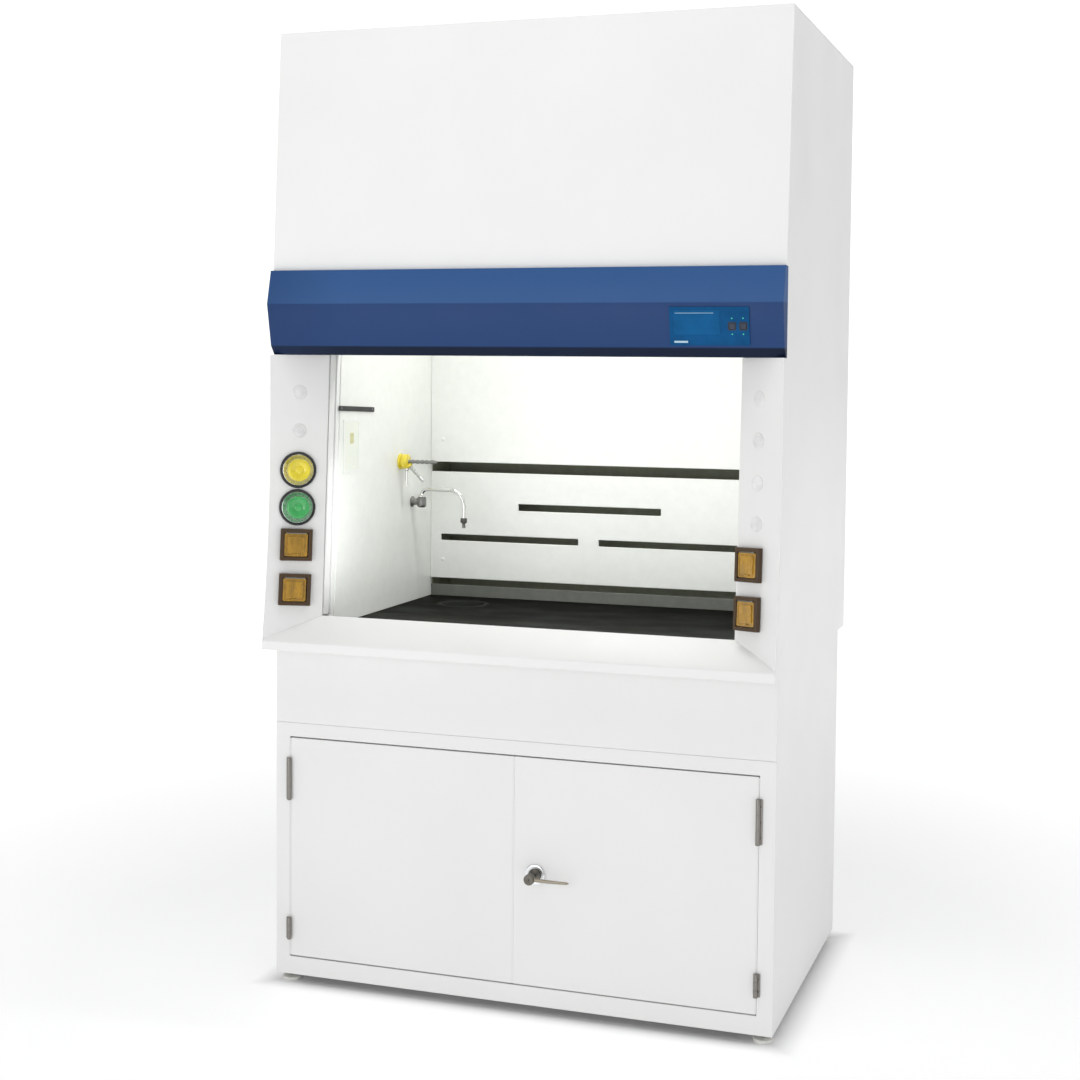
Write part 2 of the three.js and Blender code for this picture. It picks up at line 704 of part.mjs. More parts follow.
add("control_panel", controlFace(), "display", controls);
KEY_RIGHT_OF_MIDDLE.forEach((x, i) => {
  const key = block([-KEY_SIZE / 2, -KEY_SIZE / 2, 0], [KEY_SIZE / 2, KEY_SIZE / 2, KEY_THICKNESS]);
  const mesh = add(`control_key_${i + 1}`, key, "key", controls);
  mesh.position.set(x, 0, GAP + KEY_TRAVEL + GAP);
});

// ---- Posts and sill ----

// A bevelled post: a sheet from the front edge to the inner edge. It runs on below the sill's top.
function post(side) {
  const geometry = new THREE.BoxGeometry(1, 1, 1, 1, 1, POST_STEPS);
  const places = geometry.attributes.position;
  const bottom = SILL_NOSE_TOP - SHEET;
  const top = FASCIA_BOTTOM - GAP;
  for (let i = 0; i < places.count; i++) {
    const outer = places.getX(i) * side > 0;
    const z = bottom + (top - bottom) * (places.getZ(i) + 0.5);
    const y = outer ? postFrontY(z) : postInnerY(z);
    places.setXYZ(i, side * (outer ? HALF : INNER_HALF), y + (places.getY(i) > 0 ? SHEET : 0), z);
  }
  return geometry;
}

// All that lies under the sill's top, with the gap that the posts keep above it.
function belowSill() {
  const ahead = FRONT - POST_WIDTH;
  const behind = SILL_BACK_Y + POST_WIDTH;
  const outline = [
    [ahead, 0],
    [behind, 0],
    [behind, SILL_INNER_TOP + GAP],
    [SILL_INNER_Y, SILL_INNER_TOP + GAP],
    [ahead, sillTopZ(ahead) + GAP],
  ];
  return alongX(outline, -HALF - 1, HALF + 1);
}

function sill() {
  const outline = [
    [FRONT, BASE_TOP + GAP],
    [SILL_BACK_Y, BASE_TOP + GAP],
    [SILL_BACK_Y, SILL_INNER_TOP],
    [SILL_INNER_Y, SILL_INNER_TOP],
    [SILL_NOSE_Y, SILL_NOSE_TOP],
    [FRONT, SILL_NOSE_TOP - SILL_NOSE_SETBACK],
  ];
  const inside = [
    [FRONT + SHEET, BASE_TOP - 1],
    [SILL_BACK_Y - SHEET, BASE_TOP - 1],
    [SILL_BACK_Y - SHEET, SILL_INNER_TOP - SHEET - 1],
    [SILL_NOSE_Y + SHEET, SILL_NOSE_TOP - SHEET],
    [FRONT + SHEET, SILL_NOSE_TOP - SILL_NOSE_SETBACK - SHEET],
  ];
  return cut(alongX(outline, -HALF, HALF), alongX(inside, -SHELL_INSIDE, SHELL_INSIDE));
}

// The frame of a fitting on a post: local +Z out of the bevelled face, local +Y up along it. It may
// stand inward of the post's middle line.
function postFace(side, rise, inward = 0) {
  const z = SILL_INNER_TOP + rise;
  const step = 1;
  const middle = (height) =>
    new THREE.Vector3(
      (side * (HALF + INNER_HALF)) / 2,
      (postFrontY(height) + postInnerY(height)) / 2,
      height,
    );
  const up = middle(z + step).sub(middle(z - step)).normalize();
  const across = new THREE.Vector3(INNER_HALF - HALF, postInnerY(z) - postFrontY(z), 0);
  across.x *= side;
  const out = new THREE.Vector3().crossVectors(across, up).normalize();
  out.multiplyScalar(-Math.sign(out.y));
  const right = new THREE.Vector3().crossVectors(up, out);
  const place = middle(z).addScaledVector(right, -side * inward);
  return new THREE.Matrix4().makeBasis(right, up, out).setPosition(place);
}

function fittingHoles(name, side) {
  const half = SOCKET_BOX / 2 + RUNNING_CLEARANCE;
  const holes = Object.values(SOCKET_RISES).map((rise) =>
    block([-half, -half, -FITTING_CUT], [half, half, FITTING_CUT]).applyMatrix4(
      postFace(side, rise, SOCKET_INWARD[name]),
    ),
  );
  if (side < 0) {
    const radius = VALVE_RADIUS + RUNNING_CLEARANCE;
    for (const rise of Object.values(KNOB_RISES)) {
      holes.push(rod(radius, -FITTING_CUT, FITTING_CUT).applyMatrix4(postFace(side, rise)));
    }
  }
  return holes;
}

for (const [name, side] of SIDES) {
  add(`${name}_post`, cut(post(side), belowSill(), ...fittingHoles(name, side)), "white");
}
add("airfoil_sill", sill(), "white");

// ---- Fittings on the posts ----

function fittingGroup(side, rise, inward) {
  const group = new THREE.Group();
  group.applyMatrix4(postFace(side, rise, inward));
  hood.add(group);
  return group;
}

// The valve behind the post and the dished bezel in front of it, with a bore for the knob's stem.
function valveBezel() {
  const bore = STEM_RADIUS + RUNNING_CLEARANCE;
  return turned([
    [bore, -VALVE_DEPTH],
    [VALVE_RADIUS, -VALVE_DEPTH],
    [VALVE_RADIUS, FACE_GAP],
    [BEZEL_RADIUS, FACE_GAP],
    [BEZEL_RADIUS, BEZEL_THICKNESS - BEZEL_EDGE],
    [BEZEL_RADIUS - BEZEL_EDGE, BEZEL_THICKNESS],
    [BEZEL_RADIUS - BEZEL_EDGE - BEZEL_LAND, BEZEL_THICKNESS],
    [BEZEL_RADIUS - BEZEL_EDGE - BEZEL_LAND - BEZEL_DISH, BEZEL_THICKNESS - BEZEL_DISH],
    [bore, BEZEL_THICKNESS - BEZEL_DISH],
    [bore, -VALVE_DEPTH],
  ]);
}

function knob() {
  const base = BEZEL_THICKNESS - BEZEL_DISH + RUNNING_CLEARANCE;
  const top = base + KNOB_HEIGHT;
  return turned([
    [0, -STEM_DEPTH],
    [STEM_RADIUS, -STEM_DEPTH],
    [STEM_RADIUS, base],
    [KNOB_RADIUS, base],
    [KNOB_RADIUS - 1, base + KNOB_SKIRT],
    [KNOB_RADIUS - KNOB_CROWN, top - KNOB_CROWN],
    [KNOB_RADIUS - KNOB_CROWN * 2, top],
    [KNOB_RADIUS * 0.4, top - KNOB_DIMPLE],
    [0, top - KNOB_DIMPLE],
  ]);
}

for (const [service, rise] of Object.entries(KNOB_RISES)) {
  const group = fittingGroup(-1, rise);
  add(`${service}_valve_bezel`, valveBezel(), "bezel", group);
  add(`${service}_knob`, knob(), service === "gas" ? "yellow" : "green", group);
}

const LID_FLOOR = SOCKET_THICKNESS - LID_THICKNESS + 0.5;

function socketFrame() {
  const plate = block(
    [-SOCKET_SIZE / 2, -SOCKET_SIZE / 2, FACE_GAP],
    [SOCKET_SIZE / 2, SOCKET_SIZE / 2, SOCKET_THICKNESS],
  );
  const body = block(
    [-SOCKET_BOX / 2, -SOCKET_BOX / 2, -SOCKET_DEPTH],
    [SOCKET_BOX / 2, SOCKET_BOX / 2, FACE_GAP + 1],
  );
  const half = LID_SIZE / 2 + LID_CLEARANCE;
  const recess = block([-half, -half, LID_FLOOR - LID_CLEARANCE], [half, half, SOCKET_THICKNESS + 1]);
  return cut(join(plate, body), recess);
}

function socketLid() {
  return block(
    [-LID_SIZE / 2, -LID_SIZE / 2, LID_FLOOR],
    [LID_SIZE / 2, LID_SIZE / 2, LID_FLOOR + LID_THICKNESS],
  );
}

for (const [name, side] of SIDES) {
  for (const [row, rise] of Object.entries(SOCKET_RISES)) {
    const group = fittingGroup(side, rise, SOCKET_INWARD[name]);
    add(`${name}_${row}_socket`, socketFrame(), "brown", group);
    add(`${name}_${row}_socket_lid`, socketLid(), "amber", group);
  }
}

// ---- Sash, tracks and balance ----

// The sash's own frame: +Z up along its travel, from the sill's inner edge.
const sashFrame = new THREE.Group();
sashFrame.position.set(0, SILL_INNER_Y, SILL_INNER_TOP);
sashFrame.rotation.x = -SASH_LEAN;
hood.add(sashFrame);

function track(side) {
  const [x0, x1] = span(side, INNER_HALF, INNER_HALF + TRACK_WIDTH);
  const body = block([x0, TRACK_SETBACK, 2], [x1, TRACK_BACK, TRACK_LENGTH]);
  const [s0, s1] = span(side, INNER_HALF - 1, INNER_HALF + SLOT_DEPTH);
  const slot = block(
    [s0, GLASS_BEHIND_POST - SLOT_WIDTH / 2, 0],
    [s1, GLASS_BEHIND_POST + SLOT_WIDTH / 2, TRACK_LENGTH + 2],
  );
  return cut(body, slot);
}

function glass() {
  const half = INNER_HALF + GLASS_IN_TRACK;
  return block(
    [-half, -GLASS_THICKNESS / 2, GLASS_FOOT],
    [half, GLASS_THICKNESS / 2, SASH_HEIGHT],
  );
}

// The rail grips the glass's lower edge and has a lip in front to lift it by.
function handleRail() {
  const half = INNER_HALF - 2;
  const front = -RAIL_DEPTH / 2 - RAIL_LIP;
  const outline = [
    [front, 0],
    [RAIL_DEPTH / 2, 0],
    [RAIL_DEPTH / 2, RAIL_HEIGHT],
    [-RAIL_DEPTH / 2, RAIL_HEIGHT],
    [-RAIL_DEPTH / 2, RAIL_LIP_THICKNESS],
    [front + RAIL_LIP_THICKNESS, RAIL_LIP_THICKNESS],
    [front + RAIL_LIP_THICKNESS, RAIL_LIP_RISE],
    [front, RAIL_LIP_RISE],
  ];
  const groove = block(
    [-half - 1, -GLASS_THICKNESS / 2 - GAP, GLASS_FOOT - GAP],
    [half + 1, GLASS_THICKNESS / 2 + GAP, RAIL_HEIGHT + 1],
  );
  return cut(alongX(outline, -half, half), groove);
}

for (const [name, side] of SIDES) {
  add(`${name}_sash_track`, track(side), "white", sashFrame);
}
const sash = new THREE.Group();
sash.position.set(0, GLASS_BEHIND_POST, SASH_LOWEST + SASH_TRAVEL);
sashFrame.add(sash);
add("sash_glass", glass(), "glass", sash);
add("sash_handle_rail", handleRail(), "aluminium", sash);

for (const [name, side] of SIDES) {
  const half = WEIGHT.side / 2;
  const weight = add(
    `${name}_counterweight`,
    block([-half, -half, 0], [half, half, WEIGHT.height]),
    "steel",
  );
  weight.position.set(
    side * BALANCE_X,
    SHAFT_Y + WHEEL_RADIUS,
    WORKTOP_TOP + WEIGHT.over_worktop,
  );
}

function sashShaft() {
  const shaft = rod(SHAFT_RADIUS, -SHELL_INSIDE + 1, SHELL_INSIDE - 1);
  const wheels = SIDES.map(([, side]) =>
    rod(WHEEL_RADIUS, -WHEEL_WIDTH / 2, WHEEL_WIDTH / 2).translate(0, 0, side * BALANCE_X),
  );
  return join(shaft, ...wheels).applyMatrix4(AXIS_X);
}

add("sash_shaft", sashShaft(), "steel").position.set(0, SHAFT_Y, SHAFT_Z);

// ---- Inside the work chamber ----

function liner(side) {
  const [x0, x1] = span(side, LINER_X, LINER_X + LINER_THICKNESS);
  const bottom = WORKTOP_TOP + GAP;
  const outline = [
    [linerFrontY(bottom), bottom],
    [BACK - SHEET - GAP, bottom],
    [BACK - SHEET - GAP, LINER_TOP],
    [linerFrontY(LINER_TOP), LINER_TOP],
  ];
  return alongX(outline, x0, x1);
}

function baffleSlot(x0, x1, { rise, height }) {
  const z = WORKTOP_TOP + rise;
  return block(
    [x0, BAFFLE_Y - 1, z - height / 2],
    [x1, BAFFLE_Y + BAFFLE_THICKNESS + 1, z + height / 2],
  );
}

function lowerBaffle() {
  const half = LINER_X - GAP;
  const plate = block(
    [-half, BAFFLE_Y, WORKTOP_TOP + BOTTOM_SLOT],
    [half, BAFFLE_Y + BAFFLE_THICKNESS, WORKTOP_TOP + UPPER_SLOT.rise],
  );
  const x = SLOT_PATTERN_X;
  const near = LOWER_SLOT.apart / 2;
  const far = LINER_X - SLOT_MARGIN - Math.abs(x);
  return cut(
    plate,
    baffleSlot(x - MIDDLE_SLOT.width / 2, x + MIDDLE_SLOT.width / 2, MIDDLE_SLOT),
    baffleSlot(x - far, x - near, LOWER_SLOT),
    baffleSlot(x + near, x + far, LOWER_SLOT),
  );
}

// The upper baffle stands upright, then leans forward to the slot under the ceiling.
function upperBaffle() {
  const half = LINER_X - GAP;
  const path = [
    [BAFFLE_Y, WORKTOP_TOP + UPPER_SLOT.rise + UPPER_SLOT.height],
    [BAFFLE_Y, CEILING_Z - CEILING_SLOT - BAFFLE_LEAN.height],
    [BAFFLE_Y - BAFFLE_LEAN.over, CEILING_Z - CEILING_SLOT],
  ];
  return alongX(foldedSheet(path, BAFFLE_THICKNESS), -half, half);
}

function ceiling() {
  const half = LINER_X - GAP;
  const back = BAFFLE_Y - CEILING_TO_BAFFLE;
  return block([-half, linerFrontY(LINER_TOP), CEILING_Z], [half, back, LINER_TOP]);
}

function lampLens() {
  const z = CEILING_Z - GAP;
  const y = linerFrontY(LINER_TOP) + LAMP.from_front;
  return block(
    [-LAMP.width / 2, y, z - LAMP.thickness],
    [LAMP.width / 2, y + LAMP.depth, z],
  );
}

// A slab with a deep rim under its edge, and a round hole for the cup sink.
function worktop() {
  const half = SHELL_INSIDE - GAP;
  const front = SILL_BACK_Y + GAP;
  const back = BACK - SHEET - GAP;
  const slab = block([-half, front, BASE_TOP + GAP], [half, back, WORKTOP_TOP]);
  const under = block(
    [-half + WORKTOP_RIM, front + WORKTOP_RIM, BASE_TOP - 1],
    [half - WORKTOP_RIM, back - WORKTOP_RIM, WORKTOP_TOP - WORKTOP_SLAB],
  );
  const hole = rod(SINK.radius + GAP * 2, BASE_TOP - 1, WORKTOP_TOP + 1);
  return cut(slab, under, hole.translate(SINK_X, SPOUT_Y, 0));
}

function cupSink() {
  const bottom = WORKTOP_TOP - SINK.depth;
  const rim = WORKTOP_TOP + SINK.wall;
  const inner = SINK.radius - SINK.wall;
  return turned([
    [SINK.drain, bottom - SINK.tail],
    [SINK.drain + SINK.wall, bottom - SINK.tail],
    [SINK.drain + SINK.wall, bottom],
    [SINK.radius, bottom + SINK.cone],
    [SINK.radius, WORKTOP_TOP + GAP],
    [SINK.radius + SINK.lip, WORKTOP_TOP + GAP],
    [SINK.radius + SINK.lip, rim],
    [inner, rim],
    [inner, bottom + SINK.cone],
    [SINK.drain, bottom + SINK.wall],
    [SINK.drain, bottom - SINK.tail],
  ]);
}

for (const [name, side] of SIDES) {
  add(`${name}_liner`, liner(side), "liner");
}
add("baffle_lower", lowerBaffle(), "liner");
add("baffle_upper", upperBaffle(), "liner");
add("ceiling_panel", ceiling(), "liner");
add("lamp_lens", lampLens(), "lamp");
add("worktop", worktop(), "worktop");
add("cup_sink", cupSink(), "worktop").position.set(SINK_X, SPOUT_Y, 0);

// ---- Outlets on the left wall ----

// A ribbed hose nozzle along +Z.
function hoseNozzle(z0, length) {
  const rib = length / (NOZZLE.ribs + 1);
  const profile = [
    [0, z0],
    [NOZZLE.radius, z0],
  ];
  for (let i = 1; i <= NOZZLE.ribs; i++) {
    profile.push([NOZZLE.radius, z0 + rib * (i - 0.2)]);
    profile.push([NOZZLE.groove, z0 + rib * i]);
  }
  profile.push([NOZZLE.mouth, z0 + length]);
  profile.push([0, z0 + length]);
  return turned(profile, 12);
}

// A flanged body with one hose nozzle straight on and another at 45 degrees down.
function gasOutlet() {
  const neckEnd = GAS.length - GAS.body - GAS.step * 2;
  const body = turned([
    [0, GAP],
    [GAS.flange, GAP],
    [GAS.flange, GAS.flange_depth],
    [GAS.neck, GAS.flange_depth + GAS.step],
    [GAS.neck, neckEnd],
    [GAS.body, neckEnd + GAS.step],
    [GAS.body, GAS.length - GAS.step],
    [GAS.neck, GAS.length],
    [0, GAS.length],
  ]);
  const straight = hoseNozzle(GAS_NOZZLE.from, GAS_NOZZLE.length);
  const down = hoseNozzle(GAS_NOZZLE.down_from, GAS_NOZZLE.down_length).applyMatrix4(
    new THREE.Matrix4().makeRotationY(Math.PI / 4).setPosition(0, 0, GAS_NOZZLE.down_rise),
  );
  return join(body, straight, down);
}

function waterFitting() {
  const flange = turned([
    [0, GAP],
    [FITTING.flange, GAP],
    [FITTING.flange, FITTING.flange_depth],
    [FITTING.neck, FITTING.neck_from],
    [FITTING.neck, SPOUT_FROM_WALL],
    [0, SPOUT_FROM_WALL],
  ]);
  const body = rod(FITTING_BODY.radius, FITTING_BODY.low, FITTING_BODY.high);
  return join(flange.applyMatrix4(AXIS_X), body.translate(SPOUT_FROM_WALL, 0, 0));
}

// The swivelling spout: up from its fitting, out over the sink and down. Local origin on its swivel.
function spout() {
  const reach = SPOUT_REACH;
  const start = FITTING_BODY.high + GAP;
  const rise = start + SPOUT_RISE;
  const bend = SPOUT_ELBOW;
  const drop = rise - SPOUT_BEND - SPOUT_DROP;
  const at = (x, z) => new THREE.Vector3(x, 0, z);
  const route = new THREE.CurvePath();
  route.add(new THREE.LineCurve3(at(0, start), at(0, rise - bend)));
  route.add(new THREE.QuadraticBezierCurve3(at(0, rise - bend), at(0, rise), at(bend, rise)));
  route.add(new THREE.LineCurve3(at(bend, rise), at(reach - SPOUT_BEND, rise)));
  route.add(
    new THREE.CubicBezierCurve3(
      at(reach - SPOUT_BEND, rise),
      at(reach - SPOUT_BEND * 0.45, rise),
      at(reach, rise - SPOUT_BEND * 0.55),
      at(reach, rise - SPOUT_BEND),
    ),
  );
  route.add(new THREE.LineCurve3(at(reach, rise - SPOUT_BEND), at(reach, drop)));
  const section = new THREE.Shape();
  section.absarc(0, 0, SPOUT_RADIUS, 0, Math.PI * 2);
  const tube = new THREE.ExtrudeGeometry(section, {
    steps: 24,
    curveSegments: 4,
    extrudePath: route,
  });
  const tip = turned([
    [0, -TIP.length],
    [TIP.mouth, -TIP.length],
    [TIP.radius, -TIP.cone],
    [TIP.radius, TIP.collar],
    [0, TIP.collar],
  ]);
  return join(tube, tip.translate(reach, 0, drop));
}

const gas = add("gas_outlet", gasOutlet().applyMatrix4(AXIS_X), "yellow");
gas.position.set(-LINER_X, BAFFLE_Y - GAS_OUTLET.from_baffle, WORKTOP_TOP + GAS_OUTLET.rise);
const water = add("water_fitting", waterFitting(), "chrome");
water.position.set(-LINER_X, SPOUT_Y, WORKTOP_TOP + WATER_OUTLET.rise);
const gooseneck = add("gooseneck", spout(), "chrome");
gooseneck.position.set(SPOUT_X, SPOUT_Y, WORKTOP_TOP + WATER_OUTLET.rise);

export default hood;
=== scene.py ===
import json
import math

import bmesh
import bpy
from mathutils import Matrix, Vector
from mathutils.bvhtree import BVHTree

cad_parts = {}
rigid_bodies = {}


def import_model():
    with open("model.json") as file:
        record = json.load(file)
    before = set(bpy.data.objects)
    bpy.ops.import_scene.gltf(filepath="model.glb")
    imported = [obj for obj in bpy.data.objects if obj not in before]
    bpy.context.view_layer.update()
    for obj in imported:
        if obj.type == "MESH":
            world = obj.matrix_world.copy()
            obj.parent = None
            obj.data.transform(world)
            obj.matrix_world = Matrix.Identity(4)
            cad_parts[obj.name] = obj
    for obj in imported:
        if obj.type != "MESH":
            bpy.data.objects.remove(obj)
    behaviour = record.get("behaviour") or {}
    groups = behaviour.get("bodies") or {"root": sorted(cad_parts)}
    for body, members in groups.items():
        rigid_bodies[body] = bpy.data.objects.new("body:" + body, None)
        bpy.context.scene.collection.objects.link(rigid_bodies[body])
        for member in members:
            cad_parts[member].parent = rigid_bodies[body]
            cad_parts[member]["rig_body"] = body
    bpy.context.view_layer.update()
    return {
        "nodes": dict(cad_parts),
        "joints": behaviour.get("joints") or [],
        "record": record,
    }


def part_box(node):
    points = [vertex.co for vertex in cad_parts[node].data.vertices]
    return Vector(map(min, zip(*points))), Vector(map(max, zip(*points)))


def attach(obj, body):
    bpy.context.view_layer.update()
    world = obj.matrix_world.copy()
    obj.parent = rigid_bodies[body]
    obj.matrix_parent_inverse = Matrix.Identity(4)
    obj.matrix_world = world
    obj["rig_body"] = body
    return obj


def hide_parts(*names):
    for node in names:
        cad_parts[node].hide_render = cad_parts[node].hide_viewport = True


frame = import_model()

NODES = frame["nodes"]
RECORD = frame["record"]
SIDES = (("left", -1), ("right", 1))
MM = 0.001

# ---- Camera ----

CAMERA_PLACE = (1.305, -4.038, 1.457)
CAMERA_YAW = math.radians(18.89)
CAMERA_PITCH = math.radians(-3.17)
CAMERA_ROLL = math.radians(0.49)
CAMERA_LENS = 58.28
CAMERA_SHIFT = -0.07


def make_camera():
    data = bpy.data.cameras.new("camera")
    data.lens = CAMERA_LENS
    data.sensor_width = 36
    data.shift_y = CAMERA_SHIFT
    data.clip_end = 200
    camera = bpy.data.objects.new("camera", data)
    level = math.cos(CAMERA_PITCH)
    forward = Vector(
        (-math.sin(CAMERA_YAW) * level, math.cos(CAMERA_YAW) * level, math.sin(CAMERA_PITCH))
    )
    flat = Vector((math.cos(CAMERA_YAW), math.sin(CAMERA_YAW), 0))
    upright = flat.cross(forward)
    right = flat * math.cos(CAMERA_ROLL) + upright * math.sin(CAMERA_ROLL)
    up = upright * math.cos(CAMERA_ROLL) - flat * math.sin(CAMERA_ROLL)
    turn = Matrix((right, up, -forward)).transposed().to_4x4()
    camera.matrix_world = Matrix.Translation(CAMERA_PLACE) @ turn
    bpy.context.scene.collection.objects.link(camera)
    bpy.context.scene.camera = camera


make_camera()

# ---- Materials ----


class Shader:
    """A Principled material whose textures are placed in the object's own coordinates, in metres."""

    def __init__(self, name, colour, roughness, metallic=0.0, **sockets):
        self.material = bpy.data.materials.new(name)
        self.material.use_nodes = True
        self.tree = self.material.node_tree
        self.bsdf = self.tree.nodes["Principled BSDF"]
        self.place = self.node("ShaderNodeTexCoord").outputs["Object"]
        self.set("Base Color", (*colour, 1))
        self.set("Roughness", roughness)
        self.set("Metallic", metallic)
        for socket, value in sockets.items():
            self.set(socket.replace("_", " "), value)
        self.normal = None

    def set(self, socket, value):
        self.bsdf.inputs[socket].default_value = value

    def node(self, kind, inputs=None, **settings):
        made = self.tree.nodes.new(kind)
        for key, value in settings.items():
            setattr(made, key, value)
        for key, value in (inputs or {}).items():
            if isinstance(value, bpy.types.NodeSocket):
                self.tree.links.new(value, made.inputs[key])
            else:
                made.inputs[key].default_value = value
        return made

    def stretched(self, factors):
        made = self.node("ShaderNodeMapping", {"Vector": self.place, "Scale": factors})
        return made.outputs["Vector"]

    def noise(self, scale, detail=2.0, stretch=None, rough=0.5):
        vector = self.stretched(stretch) if stretch else self.place
        inputs = {"Vector": vector, "Scale": scale, "Detail": detail, "Roughness": rough}
        return self.node("ShaderNodeTexNoise", inputs).outputs["Fac"]

    def cells(self, scale, stretch=None):
        vector = self.stretched(stretch) if stretch else self.place
        return self.node("ShaderNodeTexVoronoi", {"Vector": vector, "Scale": scale}).outputs["Distance"]

    def ranged(self, value, low, high, start=0.3, end=0.7):
        inputs = {"Value": value, "From Min": start, "From Max": end, "To Min": low, "To Max": high}
        return self.node("ShaderNodeMapRange", inputs).outputs["Result"]

    def combined(self, operation, first, second):
        return self.node("ShaderNodeMath", {0: first, 1: second}, operation=operation).outputs["Value"]

    def vector_math(self, operation, *values):
        return self.node("ShaderNodeVectorMath", dict(enumerate(values)), operation=operation)

    def colours(self, value, stops):
        made = self.node("ShaderNodeValToRGB", {"Fac": value})
        ramp = made.color_ramp
        while len(ramp.elements) < len(stops):
            ramp.elements.new(0.5)
        for element, (place, colour) in zip(ramp.elements, stops):
            element.position = place
            element.color = (*colour, 1)
        return made.outputs["Color"]

    def blended(self, factor, first, second):
        made = self.node("ShaderNodeMix", data_type="RGBA")
        for key, value in ((0, factor), (6, first), (7, second)):
            if isinstance(value, bpy.types.NodeSocket):
                self.tree.links.new(value, made.inputs[key])
            else:
                made.inputs[key].default_value = value if key == 0 else (*value, 1)
        return made.outputs[2]

    def base(self, output):
        self.tree.links.new(output, self.bsdf.inputs["Base Color"])

    def rough(self, output):
        self.tree.links.new(output, self.bsdf.inputs["Roughness"])

    def bump(self, height, distance, strength=1.0):
        inputs = {"Height": height, "Distance": distance, "Strength": strength}
        if self.normal:
            inputs["Normal"] = self.normal
        self.normal = self.node("ShaderNodeBump", inputs).outputs["Normal"]
        self.tree.links.new(self.normal, self.bsdf.inputs["Normal"])


def scaled(colour, factor):
    return tuple(min(1.0, channel * factor) for channel in colour)


def powder_coat(name, colour, roughness=0.42, peel=1.0, gloss=0.5):
    """Stoved powder: orange peel a millimetre or two across, slight ripple of the sheet, faint haze."""
    shader = Shader(name, colour, roughness, Specular_IOR_Level=gloss)
    haze = shader.noise(2.3, 4)
    shader.base(shader.colours(haze, [(0.3, scaled(colour, 0.975)), (0.7, scaled(colour, 1.012))]))
    shader.rough(shader.ranged(shader.noise(9, 5), roughness - 0.05, roughness + 0.06))
    shader.bump(shader.noise(1.6, 1), 2.2 * MM, 0.35)
    shader.bump(shader.noise(520, 2), 0.12 * MM * peel, 0.5)
    shader.bump(shader.noise(1900, 1), 0.03 * MM * peel, 0.5)
    return shader.material


def folded_band(name, upper, fold, lower, chamfer, chamfer_shade_colour, roughness):
    """Powder coat on the folded band, with painted shade: a deeper tone below the fold, a near-black tone on
    the chamfer beneath and a darker left end.
    """
    shader = Shader(name, upper, roughness, Specular_IOR_Level=0.15)
    parts = shader.node("ShaderNodeSeparateXYZ", {"Vector": shader.place}).outputs
    level, along = parts["Z"], parts["X"]
    # Below the fold the colour drops to a deeper blue, and on the chamfer to near black: painted shade on
    # the facets that face down.
    past_fold = shader.ranged(level, 0.0, 1.0, fold - 1.5 * MM, fold + 1.5 * MM)
    past_chamfer = shader.ranged(level, 0.0, 1.0, chamfer - 1.5 * MM, chamfer + 1.5 * MM)
    tone = shader.blended(past_chamfer, chamfer_shade_colour, shader.blended(past_fold, lower, upper))
    # Darker towards the band's left end: painted shade.
    painted_end_shade = shader.blended(shader.ranged(along, 0.34, 0.0, -0.6, -0.42), tone, scaled(lower, 0.6))
    haze = shader.ranged(shader.noise(2.3, 4), 0.0, 0.12)
    shader.base(shader.blended(haze, painted_end_shade, scaled(lower, 0.8)))
    shader.rough(shader.ranged(shader.noise(9, 5), roughness - 0.05, roughness + 0.06))
    shader.bump(shader.noise(1.6, 1), 2.2 * MM, 0.35)
    shader.bump(shader.noise(520, 2), 0.12 * MM, 0.5)
    return shader.material


def laminate(name, colour):
    """A pressed white panel: faint fibrous mottle, fine crinkle, a few wiped marks."""
    shader = Shader(name, colour, 0.36)
    mottle = shader.noise(38, 6, rough=0.65)
    shader.base(shader.colours(mottle, [(0.35, scaled(colour, 0.965)), (0.62, colour)]))
    shader.rough(shader.ranged(shader.noise(6, 6, stretch=(1, 1, 0.35)), 0.28, 0.46))
    shader.bump(shader.noise(300, 3), 0.1 * MM, 0.5)
    return shader.material


def resin(name, colour):
    """Cast black resin: fine grey mineral fleck, dulled in wiped swirls, shallow casting ripple, and lighter
    towards the front edge as a painted reflection.
    """
    shader = Shader(name, colour, 0.5, Specular_IOR_Level=0.015)
    fleck = shader.colours(
        shader.cells(420), [(0.0, scaled(colour, 2.3)), (0.16, colour), (1.0, scaled(colour, 0.85))]
    )
    cloud = shader.noise(5, 5, rough=0.6)
    tone = shader.blended(shader.ranged(cloud, 0.0, 0.55), fleck, scaled(colour, 1.35))
    parts = shader.node("ShaderNodeSeparateXYZ", {"Vector": shader.place}).outputs
    # Much lighter towards the front edge (low Y): painted reflection of the bright room at a grazing angle,
    # with the specular kept nearly off.
    painted_front_reflection = shader.ranged(parts["Y"], 0.95, 0.0, -0.36, -0.02)
    shader.base(shader.blended(painted_front_reflection, tone, scaled(colour, 6.5)))
    shader.rough(shader.ranged(shader.noise(14, 6, stretch=(0.5, 1, 1)), 0.42, 0.58))
    shader.bump(shader.noise(7, 2), 0.6 * MM, 0.12)
    shader.bump(shader.noise(700, 2), 0.05 * MM, 0.5)
    return shader.material


def brushed(name, colour, roughness, along):
    """Metal rubbed one way: fine long scratches and a slow change of dullness."""
    shader = Shader(name, colour, roughness, 1.0)
    grain = shader.noise(900, 3, stretch=along)
    shader.base(shader.colours(grain, [(0.3, scaled(colour, 0.86)), (0.7, scaled(colour, 1.08))]))
    shader.rough(shader.ranged(grain, roughness - 0.08, roughness + 0.1))
    shader.bump(grain, 0.04 * MM, 0.6)
    shader.bump(shader.noise(60, 3), 0.1 * MM, 0.15)
    return shader.material


